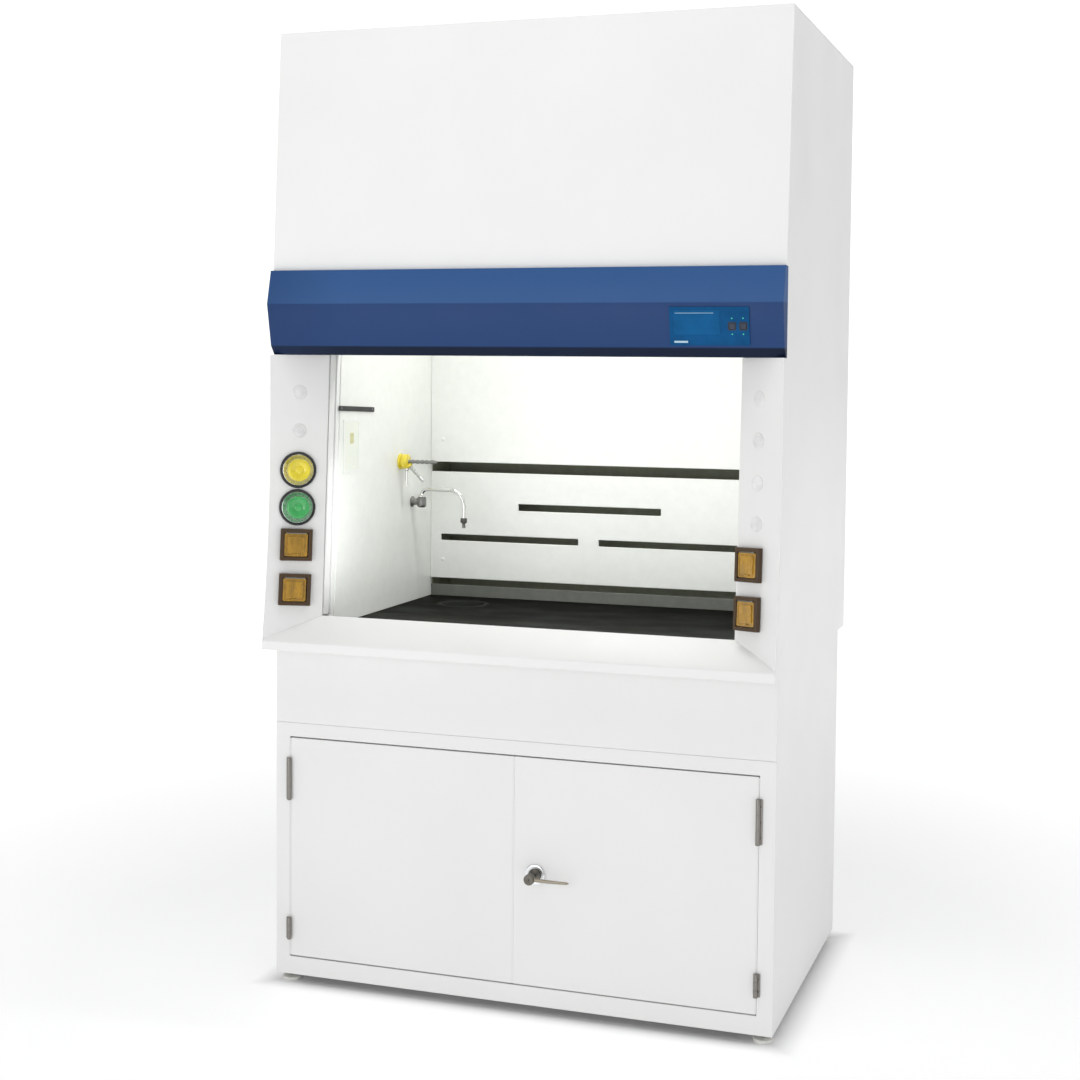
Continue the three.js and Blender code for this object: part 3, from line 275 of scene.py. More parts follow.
def plated(name, colour, roughness):
    """Bright plating: smooth, with faint finger haze and tiny pits."""
    shader = Shader(name, colour, roughness, 1.0)
    haze = shader.noise(70, 5)
    shader.rough(shader.ranged(haze, roughness * 0.6, roughness * 1.9))
    shader.base(shader.colours(haze, [(0.35, scaled(colour, 0.94)), (0.65, colour)]))
    shader.bump(shader.noise(500, 2), 0.02 * MM, 0.5)
    return shader.material


def moulded(name, colour, roughness=0.3, grain=420, depth=0.05, **sockets):
    """Moulded plastic: slight swirl of tone, a fine spark-eroded grain, rubbed shinier in patches."""
    shader = Shader(name, colour, roughness, **sockets)
    swirl = shader.noise(45, 4, rough=0.6)
    shader.base(shader.colours(swirl, [(0.3, scaled(colour, 0.88)), (0.7, scaled(colour, 1.08))]))
    shader.rough(shader.ranged(shader.noise(110, 4), roughness - 0.07, roughness + 0.09))
    shader.bump(shader.noise(grain, 2), depth * MM, 0.5)
    return shader.material


def amber(name, colour):
    """Tinted clear cover with flow marks and a dusting of scratches."""
    shader = Shader(name, colour, 0.22, Transmission_Weight=0.35, IOR=1.49, Coat_Weight=0.4)
    flow = shader.noise(60, 4, stretch=(1, 1, 0.4))
    shader.base(shader.colours(flow, [(0.3, scaled(colour, 0.72)), (0.68, scaled(colour, 1.22))]))
    shader.rough(shader.ranged(shader.noise(300, 4, stretch=(1, 1, 0.15)), 0.14, 0.32))
    shader.bump(shader.noise(90, 2), 0.15 * MM, 0.4)
    return shader.material


def clear_glass(name, colour):
    """Laminated safety glass, hardly tinted, with faint wipe marks."""
    shader = Shader(name, colour, 0.02, Transmission_Weight=1.0, IOR=1.5)
    wiped = shader.noise(12, 6, stretch=(0.3, 1, 1))
    shader.rough(shader.ranged(wiped, 0.0, 0.06, 0.45, 0.8))
    shader.base(shader.colours(wiped, [(0.4, colour), (0.75, scaled(colour, 0.98))]))
    return shader.material


def opal(name, colour):
    """A lit opal cover with fine prisms."""
    shader = Shader(name, colour, 0.4, Emission_Strength=1.6, Emission_Color=(1.0, 1.0, 0.95, 1))
    prisms = shader.cells(160, stretch=(1, 1, 0.01))
    shader.base(shader.colours(prisms, [(0.0, scaled(colour, 0.9)), (0.5, colour)]))
    shader.bump(prisms, 0.8 * MM, 0.5)
    return shader.material


def membrane(name, colour):
    """Printed polyester over a panel: satin, finely dotted, a little cloudy."""
    shader = Shader(name, colour, 0.36, Specular_IOR_Level=0.06)
    cloud = shader.noise(28, 4)
    dots = shader.cells(900)
    tone = shader.colours(cloud, [(0.3, scaled(colour, 0.82)), (0.7, scaled(colour, 1.15))])
    shader.base(shader.blended(shader.ranged(dots, 0.22, 0.0, 0.0, 0.5), tone, scaled(colour, 1.5)))
    shader.bump(dots, 0.02 * MM, 0.4)
    return shader.material


WHITE = (0.845, 0.845, 0.835)
FASCIA_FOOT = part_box("control_fascia")[0].z
FOLD_LEVEL = FASCIA_FOOT + 116 * MM
CHAMFER_LEVEL = FASCIA_FOOT + 20 * MM
LOOKS = {
    "white_powder_coat": powder_coat("white_powder_coat", WHITE),
    # The band's second and third colours are painted shade for its lower facet and its chamfer.
    "blue_powder_coat": folded_band(
        "blue_powder_coat", (0.036, 0.102, 0.268), FOLD_LEVEL, (0.019, 0.054, 0.166),
        CHAMFER_LEVEL, (0.003, 0.008, 0.024), 0.42,
    ),
    "track_white": powder_coat("track_white", (0.86, 0.865, 0.86), 0.5),
    "white_liner": laminate("white_liner", (0.84, 0.855, 0.825)),
    "black_resin": resin("black_resin", (0.0075, 0.008, 0.0068)),
    "foot_polymer": moulded("foot_polymer", (0.84, 0.83, 0.79), 0.5, 260, 0.1),
    "satin_steel": brushed("satin_steel", (0.27, 0.255, 0.235), 0.38, (1, 1, 0.02)),
    "plain_steel": brushed("plain_steel", (0.34, 0.34, 0.34), 0.45, (1, 1, 0.03)),
    "chrome": plated("chrome", (0.80, 0.80, 0.79), 0.13),
    "anodised_aluminium": brushed("anodised_aluminium", (0.75, 0.76, 0.77), 0.3, (0.02, 1, 1)),
    "control_membrane": membrane("control_membrane", (0.004, 0.076, 0.215)),
    "dark_key": moulded("dark_key", (0.012, 0.022, 0.045), 0.42),
    "sash_glass": clear_glass("sash_glass", (0.93, 0.98, 0.95)),
    "lamp_diffuser": opal("lamp_diffuser", (0.9, 0.92, 0.88)),
    "outlet_yellow": moulded("outlet_yellow", (0.74, 0.60, 0.035), 0.28, Coat_Weight=0.5),
    "knob_yellow": moulded("knob_yellow", (0.80, 0.66, 0.03), 0.24, Coat_Weight=0.6),
    "knob_green": moulded("knob_green", (0.045, 0.40, 0.10), 0.24, Coat_Weight=0.6),
    "black_bezel": moulded("black_bezel", (0.014, 0.014, 0.015), 0.3, Coat_Weight=0.3),
    "socket_brown": moulded("socket_brown", (0.060, 0.030, 0.008), 0.36),
    "amber_cover": amber("amber_cover", (0.60, 0.33, 0.025)),
}
SILVER = brushed("silver_ring", (0.78, 0.79, 0.80), 0.26, (1, 1, 1))
DARK_HUB = moulded("dark_hub", (0.07, 0.065, 0.06), 0.4)
PLUG_WHITE = moulded("plug_white", (0.79, 0.79, 0.785), 0.5, 300, 0.08)
STRIP_GREY = brushed("strip_grey", (0.075, 0.075, 0.078), 0.5, (1, 0.02, 1))
CARD = laminate("card_sleeve", (0.80, 0.83, 0.76))
DISPLAY = membrane("display_window", (0.005, 0.092, 0.245))
PALE_PRINT = moulded("pale_print", (0.42, 0.62, 0.72), 0.5)
GREEN_DOT = moulded("green_dot", (0.05, 0.5, 0.28), 0.3, Emission_Strength=0.25,
                    Emission_Color=(0.1, 0.9, 0.6, 1))
GREY_METAL = brushed("grey_fitting", (0.30, 0.30, 0.29), 0.36, (0.05, 1, 1))
# Olive grey, darker than the white hood it covers: painted shade for the plenum behind the baffle.
PLENUM_PAINTED_SHADE = moulded("plenum_painted_shade", (0.26, 0.275, 0.20), 0.6, 300, 0.08)
WORN_NICKEL = brushed("worn_nickel", (0.33, 0.295, 0.235), 0.36, (0.05, 1, 1))
DARK_NICKEL = brushed("dark_nickel", (0.17, 0.16, 0.14), 0.34, (1, 0.05, 1))
SINK_RESIN = resin("sink_resin", (0.03, 0.032, 0.028))
LIGHT_METAL = brushed("light_fitting", (0.60, 0.61, 0.60), 0.4, (0.05, 1, 1))
CURB_GREY = moulded("curb_grey", (0.14, 0.147, 0.13), 0.5, 300, 0.08)
# Near black for thin marks that paint the shade inside screw recesses and slots.
PAINTED_SHADE_BLACK = moulded("painted_shade_black", (0.01, 0.01, 0.01), 0.7)

SLOT_OF = {}
for name, node in NODES.items():
    for held in node.data.materials:
        if held and held.name.split(".")[0] in LOOKS:
            SLOT_OF.setdefault(name, held.name.split(".")[0])

# ---- Making pieces ----


def publish(name, bm, material, body="hood", bevel=0.0, smooth=40, segments=3):
    """Turns a bmesh into a piece that rides on a body, with rounded edges and clean shading."""
    bmesh.ops.recalc_face_normals(bm, faces=bm.faces)
    mesh = bpy.data.meshes.new(name)
    bm.to_mesh(mesh)
    bm.free()
    mesh.shade_smooth()
    mesh.set_sharp_from_angle(angle=math.radians(smooth))
    mesh.materials.append(material)
    piece = bpy.data.objects.new(name, mesh)
    bpy.context.scene.collection.objects.link(piece)
    if bevel:
        rounded = piece.modifiers.new("rounded", "BEVEL")
        rounded.width = bevel
        rounded.segments = segments
        rounded.limit_method = "ANGLE"
        rounded.angle_limit = math.radians(32)
        rounded.harden_normals = True
        rounded.use_clamp_overlap = True
    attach(piece, body)
    return piece


def body_of_node(name):
    return NODES[name]["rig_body"]


def cad_bmesh(name):
    """A copy of a CAD node's mesh with its triangles joined into flat faces."""
    bm = bmesh.new()
    bm.from_mesh(NODES[name].data)
    bmesh.ops.remove_doubles(bm, verts=bm.verts, dist=1e-6)
    bmesh.ops.dissolve_limit(
        bm, angle_limit=math.radians(0.3), verts=bm.verts, edges=bm.edges, delimit=set()
    )
    return bm


REAR_SET_IN = 1.4 * MM


def soften(name, bevel, smooth=40, segments=3):
    bm = cad_bmesh(name)
    if name == "hood_back":
        for vertex in bm.verts:
            vertex.co.y -= REAR_SET_IN
    piece = publish(
        f"{name}_finish", bm, LOOKS[SLOT_OF[name]], body_of_node(name), bevel, smooth, segments
    )
    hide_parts(name)
    return piece


def lathe(profile, matrix, sides=64):
    """A bmesh of (radius, height) points turned about the matrix's Z axis, in metres."""
    bm = bmesh.new()
    rings = []
    for radius, height in profile:
        if radius < 1e-6:
            rings.append([bm.verts.new(matrix @ Vector((0, 0, height)))])
            continue
        turn = [2 * math.pi * i / sides for i in range(sides)]
        rings.append(
            [
                bm.verts.new(matrix @ Vector((radius * math.cos(a), radius * math.sin(a), height)))
                for a in turn
            ]
        )
    for low, high in zip(rings, rings[1:]):
        for i in range(sides):
            j = (i + 1) % sides
            corners = [low[i % len(low)], low[j % len(low)], high[j % len(high)], high[i % len(high)]]
            unique = list(dict.fromkeys(corners))
            if len(unique) > 2:
                bm.faces.new(unique)
    return bm


def mm(*points):
    """Points of a profile, given in millimetres."""
    return [(a * MM, b * MM) for a, b in points]


def arc(centre, radius, start, end, steps=6):
    """Points of an arc in a profile, angles in degrees."""
    angles = [math.radians(start + (end - start) * i / steps) for i in range(steps + 1)]
    return [(centre[0] + radius * math.cos(a), centre[1] + radius * math.sin(a)) for a in angles]


def rounded_outline(width, height, radius, steps=6):
    points = []
    for turn, (sx, sy) in enumerate(((1, 1), (-1, 1), (-1, -1), (1, -1))):
        centre = (sx * (width / 2 - radius), sy * (height / 2 - radius))
        points += arc(centre, radius, turn * 90, turn * 90 + 90, steps)
    return points


def plate(outline, low, high, matrix):
    """A bmesh of an outline in the matrix's XY plane, drawn out from low to high along its Z."""
    bm = bmesh.new()
    bottom = [bm.verts.new(matrix @ Vector((x, y, low))) for x, y in outline]
    top = [bm.verts.new(matrix @ Vector((x, y, high))) for x, y in outline]
    bm.faces.new(bottom[::-1])
    bm.faces.new(top)
    for i in range(len(outline)):
        j = (i + 1) % len(outline)
        bm.faces.new((bottom[i], bottom[j], top[j], top[i]))
    return bm


def slab(size, low, high, matrix):
    """A plate whose size is its width, height and corner radius, and sometimes steps to a corner."""
    return plate(rounded_outline(*size), low, high, matrix)


def ring_plate(outer, inner, low, high, matrix):
    """A frame between two outlines with the same number of points."""
    bm = bmesh.new()
    loops = []
    for outline, z in ((outer, low), (outer, high), (inner, high), (inner, low)):
        loops.append([bm.verts.new(matrix @ Vector((x, y, z))) for x, y in outline])
    for first, second in zip(loops, loops[1:] + loops[:1]):
        for i in range(len(outer)):
            j = (i + 1) % len(outer)
            bm.faces.new((first[i], first[j], second[j], second[i]))
    return bm


def merged(*parts):
    """Several bmeshes as one."""
    whole = bmesh.new()
    for part in parts:
        mesh = bpy.data.meshes.new("part")
        part.to_mesh(mesh)
        part.free()
        whole.from_mesh(mesh)
        bpy.data.meshes.remove(mesh)
    return whole


def tube(points, radius, sides):
    """A bmesh tube that follows points, without twist."""
    bm = bmesh.new()
    points = [Vector(p) for p in points]
    rings = []
    side = None
    for i, point in enumerate(points):
        way = (points[min(i + 1, len(points) - 1)] - points[max(i - 1, 0)]).normalized()
        side = (side - way * side.dot(way)).normalized() if side else way.orthogonal().normalized()
        other = way.cross(side)
        angles = [2 * math.pi * k / sides for k in range(sides)]
        spokes = [(side * math.cos(a) + other * math.sin(a)) * radius for a in angles]
        rings.append([bm.verts.new(point + spoke) for spoke in spokes])
    for low, high in zip(rings, rings[1:]):
        for i in range(sides):
            j = (i + 1) % sides
            bm.faces.new((low[i], low[j], high[j], high[i]))
    bm.faces.new(rings[0][::-1])
    bm.faces.new(rings[-1])
    return bm


SURFACES = {}


def surface(name, start, way=(0, 1, 0)):
    """The point and normal where a ray from start meets a CAD node."""
    if name not in SURFACES:
        mesh = NODES[name].data
        corners = [vertex.co for vertex in mesh.vertices]
        SURFACES[name] = BVHTree.FromPolygons(corners, [face.vertices for face in mesh.polygons])
    point, normal, _, _ = SURFACES[name].ray_cast(Vector(start), Vector(way).normalized())
    if normal.dot(Vector(way)) > 0:
        normal = -normal
    return point, normal


def facing(point, normal, up=(0, 0, 1)):
    """A frame at a point with Z along a normal and Y as near up as it can be."""
    z = Vector(normal).normalized()
    if abs(z.z) > 0.999:
        up = (0, 1, 0)
    x = Vector(up).cross(z).normalized()
    y = z.cross(x)
    return Matrix.Translation(point) @ Matrix((x, y, z)).transposed().to_4x4()


def joint(name):
    return next(j for j in frame["joints"] if j["name"] == name)


def centre_of(name):
    low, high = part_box(name)
    return (low + high) / 2


# ---- Sheet metal, liners and solids carried over from CAD, with rounded edges ----

BEVELS = {
    1.1 * MM: (
        "base_left_side base_right_side base_back base_floor base_front_frame base_apron "
        "left_door right_door "
        "hood_left_side hood_right_side hood_back hood_roof upper_front_panel left_post right_post "
        "left_sash_track right_sash_track sash_glass latch_cam"
    ),
    1.6 * MM: "airfoil_sill left_liner right_liner baffle_lower baffle_upper ceiling_panel sash_handle_rail",
    1.4 * MM: "control_fascia left_upper_socket left_lower_socket right_upper_socket right_lower_socket",
    3.0 * MM: "worktop left_counterweight right_counterweight lamp_lens",
    0.8 * MM: "control_panel control_key_1 control_key_2 sash_shaft",
}
for width, names in BEVELS.items():
    for name in names.split():
        soften(name, width)

# ---- Feet ----

NUT_CORNER = 9.5 * MM


def make_foot(name):
    low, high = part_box(name)
    middle = (low + high) / 2
    at = Matrix.Translation((middle.x, middle.y, low.z))
    radius = (high.x - low.x) / 2
    height = high.z - low.z
    pad = [(0, 0), (radius - 3 * MM, 0), *arc((radius - 3 * MM, 3 * MM), 3 * MM, -90, 0)]
    pad += [*arc((radius - 2 * MM, 7 * MM), 2 * MM, 0, 80), (13 * MM, 11 * MM), (0, 11 * MM)]
    foot = publish(f"{name}_pad", lathe(pad, at), LOOKS["foot_polymer"])
    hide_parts(name)
    turns = [math.pi / 3 * i for i in range(6)]
    hexagon = [(NUT_CORNER * math.cos(a), NUT_CORNER * math.sin(a)) for a in turns]
    body = plate(hexagon, 11.2 * MM, 17 * MM, at)
    nut = publish(f"{name}_nut", body, LOOKS["satin_steel"], bevel=0.8 * MM)
    stud = mm((0, 17.1))
    for i in range(5):
        stud += [(6 * MM, (17.2 + i) * MM), (5.3 * MM, (17.7 + i) * MM)]
    stud += [(5.3 * MM, height), (0, height)]
    publish(f"{name}_stud", lathe(stud, at, 32), LOOKS["satin_steel"], smooth=30)


for row in ("front", "rear"):
    for side_name, _ in SIDES:
        make_foot(f"foot_{row}_{side_name}")

# ---- Hinges ----


def make_hinge(name, side):
    low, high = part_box(name)
    place = joint("left_door_hinge" if side < 0 else "right_door_hinge")["pos_m"]
    length = high.z - low.z
    at = Matrix.Translation((place[0], place[1], low.z))
    radius = 5 * MM
    profile = [(0, 0), *arc((radius - 1.5 * MM, 1.5 * MM), 1.5 * MM, -90, 0, 3)]
    for i in (1, 2):
        z = length * i / 3
        profile += [(radius, z - 0.7 * MM), (radius - 0.9 * MM, z - 0.4 * MM)]
        profile += [(radius - 0.9 * MM, z + 0.4 * MM), (radius, z + 0.7 * MM)]
    profile += [*arc((radius - 1.5 * MM, length - 1.5 * MM), 1.5 * MM, 0, 90, 3), (0, length)]
    barrel = publish(f"{name}_barrel", lathe(profile, at, 40), LOOKS["satin_steel"])
    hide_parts(name)
    outer = low.x if side < 0 else high.x
    leaf_middle = (outer + place[0]) / 2
    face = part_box("base_front_frame")[0].y
    frame_at = facing((leaf_middle, face, low.z + length / 2), (0, -1, 0))
    width = abs(outer - place[0])
    leaf = slab((width, length - 2 * MM, 1.2 * MM), 0.35 * MM, 3.6 * MM, frame_at)
    publish(f"{name}_leaf", leaf, LOOKS["satin_steel"], bevel=0.5 * MM)
    count = 3 if length > 80 * MM else 2
    for i in range(count):
        z = (i + 0.5) / count * length - length / 2
        at = frame_at @ Matrix.Translation((side * 1.2 * MM, z, 0))
        make_screw(f"{name}_screw_{i + 1}", at, 2.4 * MM, 3.7 * MM, "satin_steel")


def make_screw(name, at, radius, level, slot_name, body="hood"):
    """A domed screw with a crossed recess, seated at a level above its frame; the recess is a thin
    near-black cross on the head, painted shade.
    """
    profile = [(0, level - 1 * MM), (radius, level - 1 * MM), (radius, level + 0.3 * MM)]
    profile += [(radius * 0.8, level + 0.8 * MM), (radius * 0.45, level + 1.1 * MM)]
    profile += [(0, level + 1.15 * MM)]
    piece = publish(name, lathe(profile, at, 24), LOOKS[slot_name], body)
    arm, half = radius * 0.6, radius * 0.14
    cross = [(half, arm), (half, half), (arm, half), (arm, -half), (half, -half), (half, -arm)]
    cross += [(-x, -y) for x, y in cross]
    # The cross is painted shade standing in for the depth of the recess.
    mark = plate(cross, level + 0.9 * MM, level + 1.25 * MM, at)
    publish(f"{name}_recess", mark, PAINTED_SHADE_BLACK, body)


for side_name, side in SIDES:
    for row in ("upper", "lower"):
        make_hinge(f"{side_name}_{row}_hinge", side)

# ---- Latch ----


def make_latch():
    place = Vector(joint("latch_turn")["pos_m"])
    at = facing(place, (0, -1, 0))
    rose = [(7.4 * MM, 0.4 * MM), (24 * MM, 0.4 * MM), *arc((22.4 * MM, 2.2 * MM), 1.6 * MM, 0, 75, 4)]
    rose += mm((19, 4.6), (16.5, 3.6), (15.6, 3.6), (15.6, 1), (7.4, 1))
    piece = publish("latch_rose", lathe(rose, at), SILVER, "right_door", smooth=35)
    low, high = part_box("latch_handle")
    front = place.y - low.y
    reach = high.x - place.x
    base = mm((0, -26), (6, -26), (6, 0.4), (14.6, 0.4), (14.6, 5))
    base += [(12.5 * MM, 8 * MM), (7 * MM, 11 * MM), (6.4 * MM, 15 * MM), (6.4 * MM, front - 15 * MM)]
    base += [(12 * MM, front - 12 * MM), *arc((10 * MM, front - 2 * MM), 2 * MM, 0, 90, 4)]
    base += [(5.2 * MM, front)]
    base += [(5 * MM, front - 0.9 * MM), (0, front - 0.9 * MM)]
    hub = publish("latch_hub", lathe(base, at, 48), DARK_NICKEL, "latch")
    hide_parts("latch_handle")
    # The hub's slot is a thin near-black plate: painted shade standing in for the slot's depth.
    slit_outline = rounded_outline(1.4 * MM, 6.5 * MM, 0.6 * MM, 3)
    cut = plate(slit_outline, front - 0.9 * MM, front - 0.6 * MM, at)
    slit = publish("latch_hub_slot", cut, PAINTED_SHADE_BLACK, "latch")
    lever = bmesh.new()
    stations = []
    steps = 18
    for i in range(steps + 1):
        t = i / steps
        x = 4 * MM + (reach - 4 * MM) * t
        past = max(0.0, (t - 0.93) / 0.07)
        half = (4.6 - 1.6 * t) * MM * math.sqrt(max(0.02, 1 - past**2))
        thick = (4.2 - 1.2 * t) * MM
        z = front - 7.2 * MM + 2.0 * MM * math.sin(t * math.pi)
        ring = []
        for k in range(16):
            a = 2 * math.pi * k / 16
            spot = Vector((x, half * math.cos(a), z + thick * math.sin(a) * 0.8))
            ring.append(lever.verts.new(at @ spot))
        stations.append(ring)
    for first, second in zip(stations, stations[1:]):
        for k in range(16):
            lever.faces.new((first[k], first[(k + 1) % 16], second[(k + 1) % 16], second[k]))
    lever.faces.new(stations[0][::-1])
    lever.faces.new(stations[-1])
    piece = publish("latch_lever", lever, WORN_NICKEL, "latch", smooth=60)


make_latch()

# ---- Knobs, sockets and plugs on the posts ----


def make_valve(service):
    turn = joint(f"{service}_knob_turn")
    at = facing(turn["pos_m"], turn["axis"])
    ring = mm((5.6, -48), (19, -48), (19, 1.5), (42.4, 1.5))
    ring += arc((39.6 * MM, 4.2 * MM), 2.8 * MM, 0, 100, 6) + mm((37.2, 6.6), (36.4, 4.4))
    ring += mm((36.2, 2.4), (5.6, 2.4), (5.6, -48))
    bezel = publish(f"{service}_bezel_ring", lathe(ring, at, 72), LOOKS["black_bezel"])
    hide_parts(f"{service}_valve_bezel")
    dish = mm((6, 2.5), (36.0, 2.5), (36.0, 5.6), (35.2, 6.0))
    dish += mm((33.5, 5.2), (30.5, 3.9), (27, 3.3), (6, 3.2))
    dish += mm((6, 2.5))
    publish(f"{service}_dished_ring", lathe(dish, at, 72), SILVER)
    slot_name = "knob_yellow" if service == "gas" else "knob_green"
    cap = mm((0, -28), (5, -28), (5, 5), (26.4, 5), (27.6, 6.2))
    cap += [(27.2 * MM, 10 * MM), (26.6 * MM, 17 * MM), *arc((21.6 * MM, 22.6 * MM), 5 * MM, -10, 86, 8)]
    cap += mm((18, 27.2), (14, 26.2), (11, 25.0), (9.6, 24.6))
    cap += mm((8.6, 26.0), (6.0, 26.6), (0, 26.8))
    grip = lathe(cap, at, 72)
    inverse = at.inverted()
    for vertex in grip.verts:
        local = inverse @ vertex.co
        radius = math.hypot(local.x, local.y)
        if radius > 20 * MM and 5.5 * MM < local.z < 21 * MM:
            lobe = 1 + 0.022 * math.cos(12 * math.atan2(local.y, local.x))
            vertex.co = at @ Vector((local.x * lobe, local.y * lobe, local.z))
    piece = publish(f"{service}_knob_cap", grip, LOOKS[slot_name], f"{service}_knob", smooth=50)
    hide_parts(f"{service}_knob")


for service in ("gas", "water"):
    make_valve(service)


def make_socket_details(side_name, row):
    lid = f"{side_name}_{row}_socket_lid"
    body = f"{side_name}_{row}_lid"
    middle = centre_of(lid)
    point, normal = surface(lid, (middle.x, middle.y - 0.3, middle.z))
    hinge = joint(f"{side_name}_{row}_lid_hinge")
    across = Vector(hinge["axis"])
    up = normal.cross(across)
    at = facing(point, normal, up if up.z > 0 else across.cross(normal))
    half = 27 * MM
    outline = rounded_outline(53.6 * MM, 53.6 * MM, 4 * MM)
    inner = rounded_outline(39 * MM, 39 * MM, 3 * MM)
    shell = merged(
        plate(outline, -3.8 * MM, -1.0 * MM, at),
        ring_plate(outline, rounded_outline(46 * MM, 46 * MM, 3 * MM), -1.2 * MM, 0.0, at),
        plate(inner, -1.2 * MM, 1.4 * MM, at),
    )
    piece = publish(f"{lid}_cover", shell, LOOKS["amber_cover"], body, bevel=0.7 * MM)
    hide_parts(lid)
    grip = slab((16 * MM, 3.4 * MM, 1.4 * MM, 4), 0.0, 2.2 * MM,
                 at @ Matrix.Translation((0, -half + 5 * MM, 0)))
    piece = publish(f"{lid}_lip", grip, LOOKS["amber_cover"], body, bevel=0.6 * MM)
    socket = at @ Matrix.Translation((0, 0, -0.5 * MM))
    outer, opening = rounded_outline(73 * MM, 73 * MM, 5 * MM), rounded_outline(58 * MM, 58 * MM, 3 * MM)
    rim = ring_plate(outer, opening, -0.2 * MM, 1.6 * MM, socket)
    piece = publish(f"{side_name}_{row}_socket_rim", rim, LOOKS["socket_brown"], bevel=0.8 * MM)
    pin = mm((0, -24), (1.5, -24), (1.5, 24), (0, 24))
    spin = socket @ Matrix.Translation((0, half + 0.2 * MM, 0.4 * MM))
    spin = spin @ Matrix.Rotation(math.pi / 2, 4, "Y")
    piece = publish(f"{side_name}_{row}_socket_pin", lathe(pin, spin, 20), LOOKS["satin_steel"])


for side_name, _ in SIDES:
    for row in ("upper", "lower"):
        make_socket_details(side_name, row)

PLUG_HEIGHTS = {"left": (1.394, 1.305), "right": (1.394, 1.305, 1.214, 1.127)}
PLUG_INWARD = {"left": 0.0, "right": 7 * MM}


def make_plug(side_name, side, number, height):
    low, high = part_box(f"{side_name}_post")
    x = (low.x + high.x) / 2 - side * PLUG_INWARD[side_name]
    point, normal = surface(f"{side_name}_post", (x, low.y - 0.1, height))
    at = facing(point, normal)
    profile = mm((0, 0.2), (17, 0.2), (17, 0.9), (16, 1.7), (13, 2.0))
    profile += mm((12.4, 1.5), (11.8, 1.5), (11, 2.1), (5, 2.5), (0, 2.6))
    publish(f"{side_name}_blank_plug_{number}", lathe(profile, at, 56), PLUG_WHITE, smooth=25)


for side_name, side in SIDES:
    for number, height in enumerate(PLUG_HEIGHTS[side_name]):
        make_plug(side_name, side, number + 1, height)

# ---- Control panel details ----


def make_controls():
    middle = centre_of("control_panel")
    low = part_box("control_panel")[0]
    point, normal = surface("control_panel", (middle.x - 0.03, low.y - 0.2, middle.z))
    at = facing((middle.x, point.y, middle.z), normal)
    key_1, key_2 = centre_of("control_key_1"), centre_of("control_key_2")
    window = at @ Matrix.Translation((-27 * MM, 8 * MM, 0))
    screen = slab((100 * MM, 52 * MM, 3 * MM), 0.05 * MM, 0.5 * MM, window)
    piece = publish("display_window", screen, DISPLAY, bevel=0.2 * MM)
    for i in range(3):
        bar = slab(((84 - 22 * i) * MM, 0.9 * MM, 0.4 * MM, 3), 0.5 * MM, 0.7 * MM,
                    window @ Matrix.Translation(((-5 - 8 * i) * MM, (20 - 9 * i) * MM, 0)))
        look = PALE_PRINT if i == 0 else DISPLAY
        publish(f"display_line_{i + 1}", bar, look)
    bar = slab((30 * MM, 4.2 * MM, 1 * MM, 3), 0.05 * MM, 0.4 * MM,
                at @ Matrix.Translation((-62 * MM, -34 * MM, 0)))
    publish("pale_bar", bar, PALE_PRINT)
    for i, key in enumerate((key_1, key_2)):
        local = at.inverted() @ key
        outer = rounded_outline(18 * MM, 18 * MM, 3 * MM, 4)
        inner = rounded_outline(14.4 * MM, 14.4 * MM, 2 * MM, 4)
        ring_at = at @ Matrix.Translation((local.x, local.y, 0))
        ring = ring_plate(outer, inner, 0.0, 0.7 * MM, ring_at)
        publish(f"key_surround_{i + 1}", ring, LOOKS["dark_key"], bevel=0.25 * MM)
        for j, drop in enumerate((-17, 17)):
            dot = lathe(mm((0, 0), (1.5, 0), (1.4, 0.5), (0.8, 0.9), (0, 1.0)),
                        at @ Matrix.Translation((local.x, local.y + drop * MM, 0)), 20)
            publish(f"status_dot_{i + 1}_{j + 1}", dot, GREEN_DOT)


make_controls()

# ---- Work chamber: outlets, spout, strip and card, caps ----


def nozzle_profile(start, length, radius=6 * MM):
    rib = length / 6
    profile = [(0, start), (radius, start)]
    for i in range(5):
        base = start + rib * (i + 0.35)
        profile += [(radius * 0.72, base), (radius, base + rib * 0.55)]
    end = start + length
    profile += [(radius * 0.62, end), (radius * 0.4, end), (radius * 0.4, end - 3 * MM)]
    profile += [(0, end - 3 * MM)]
    return profile


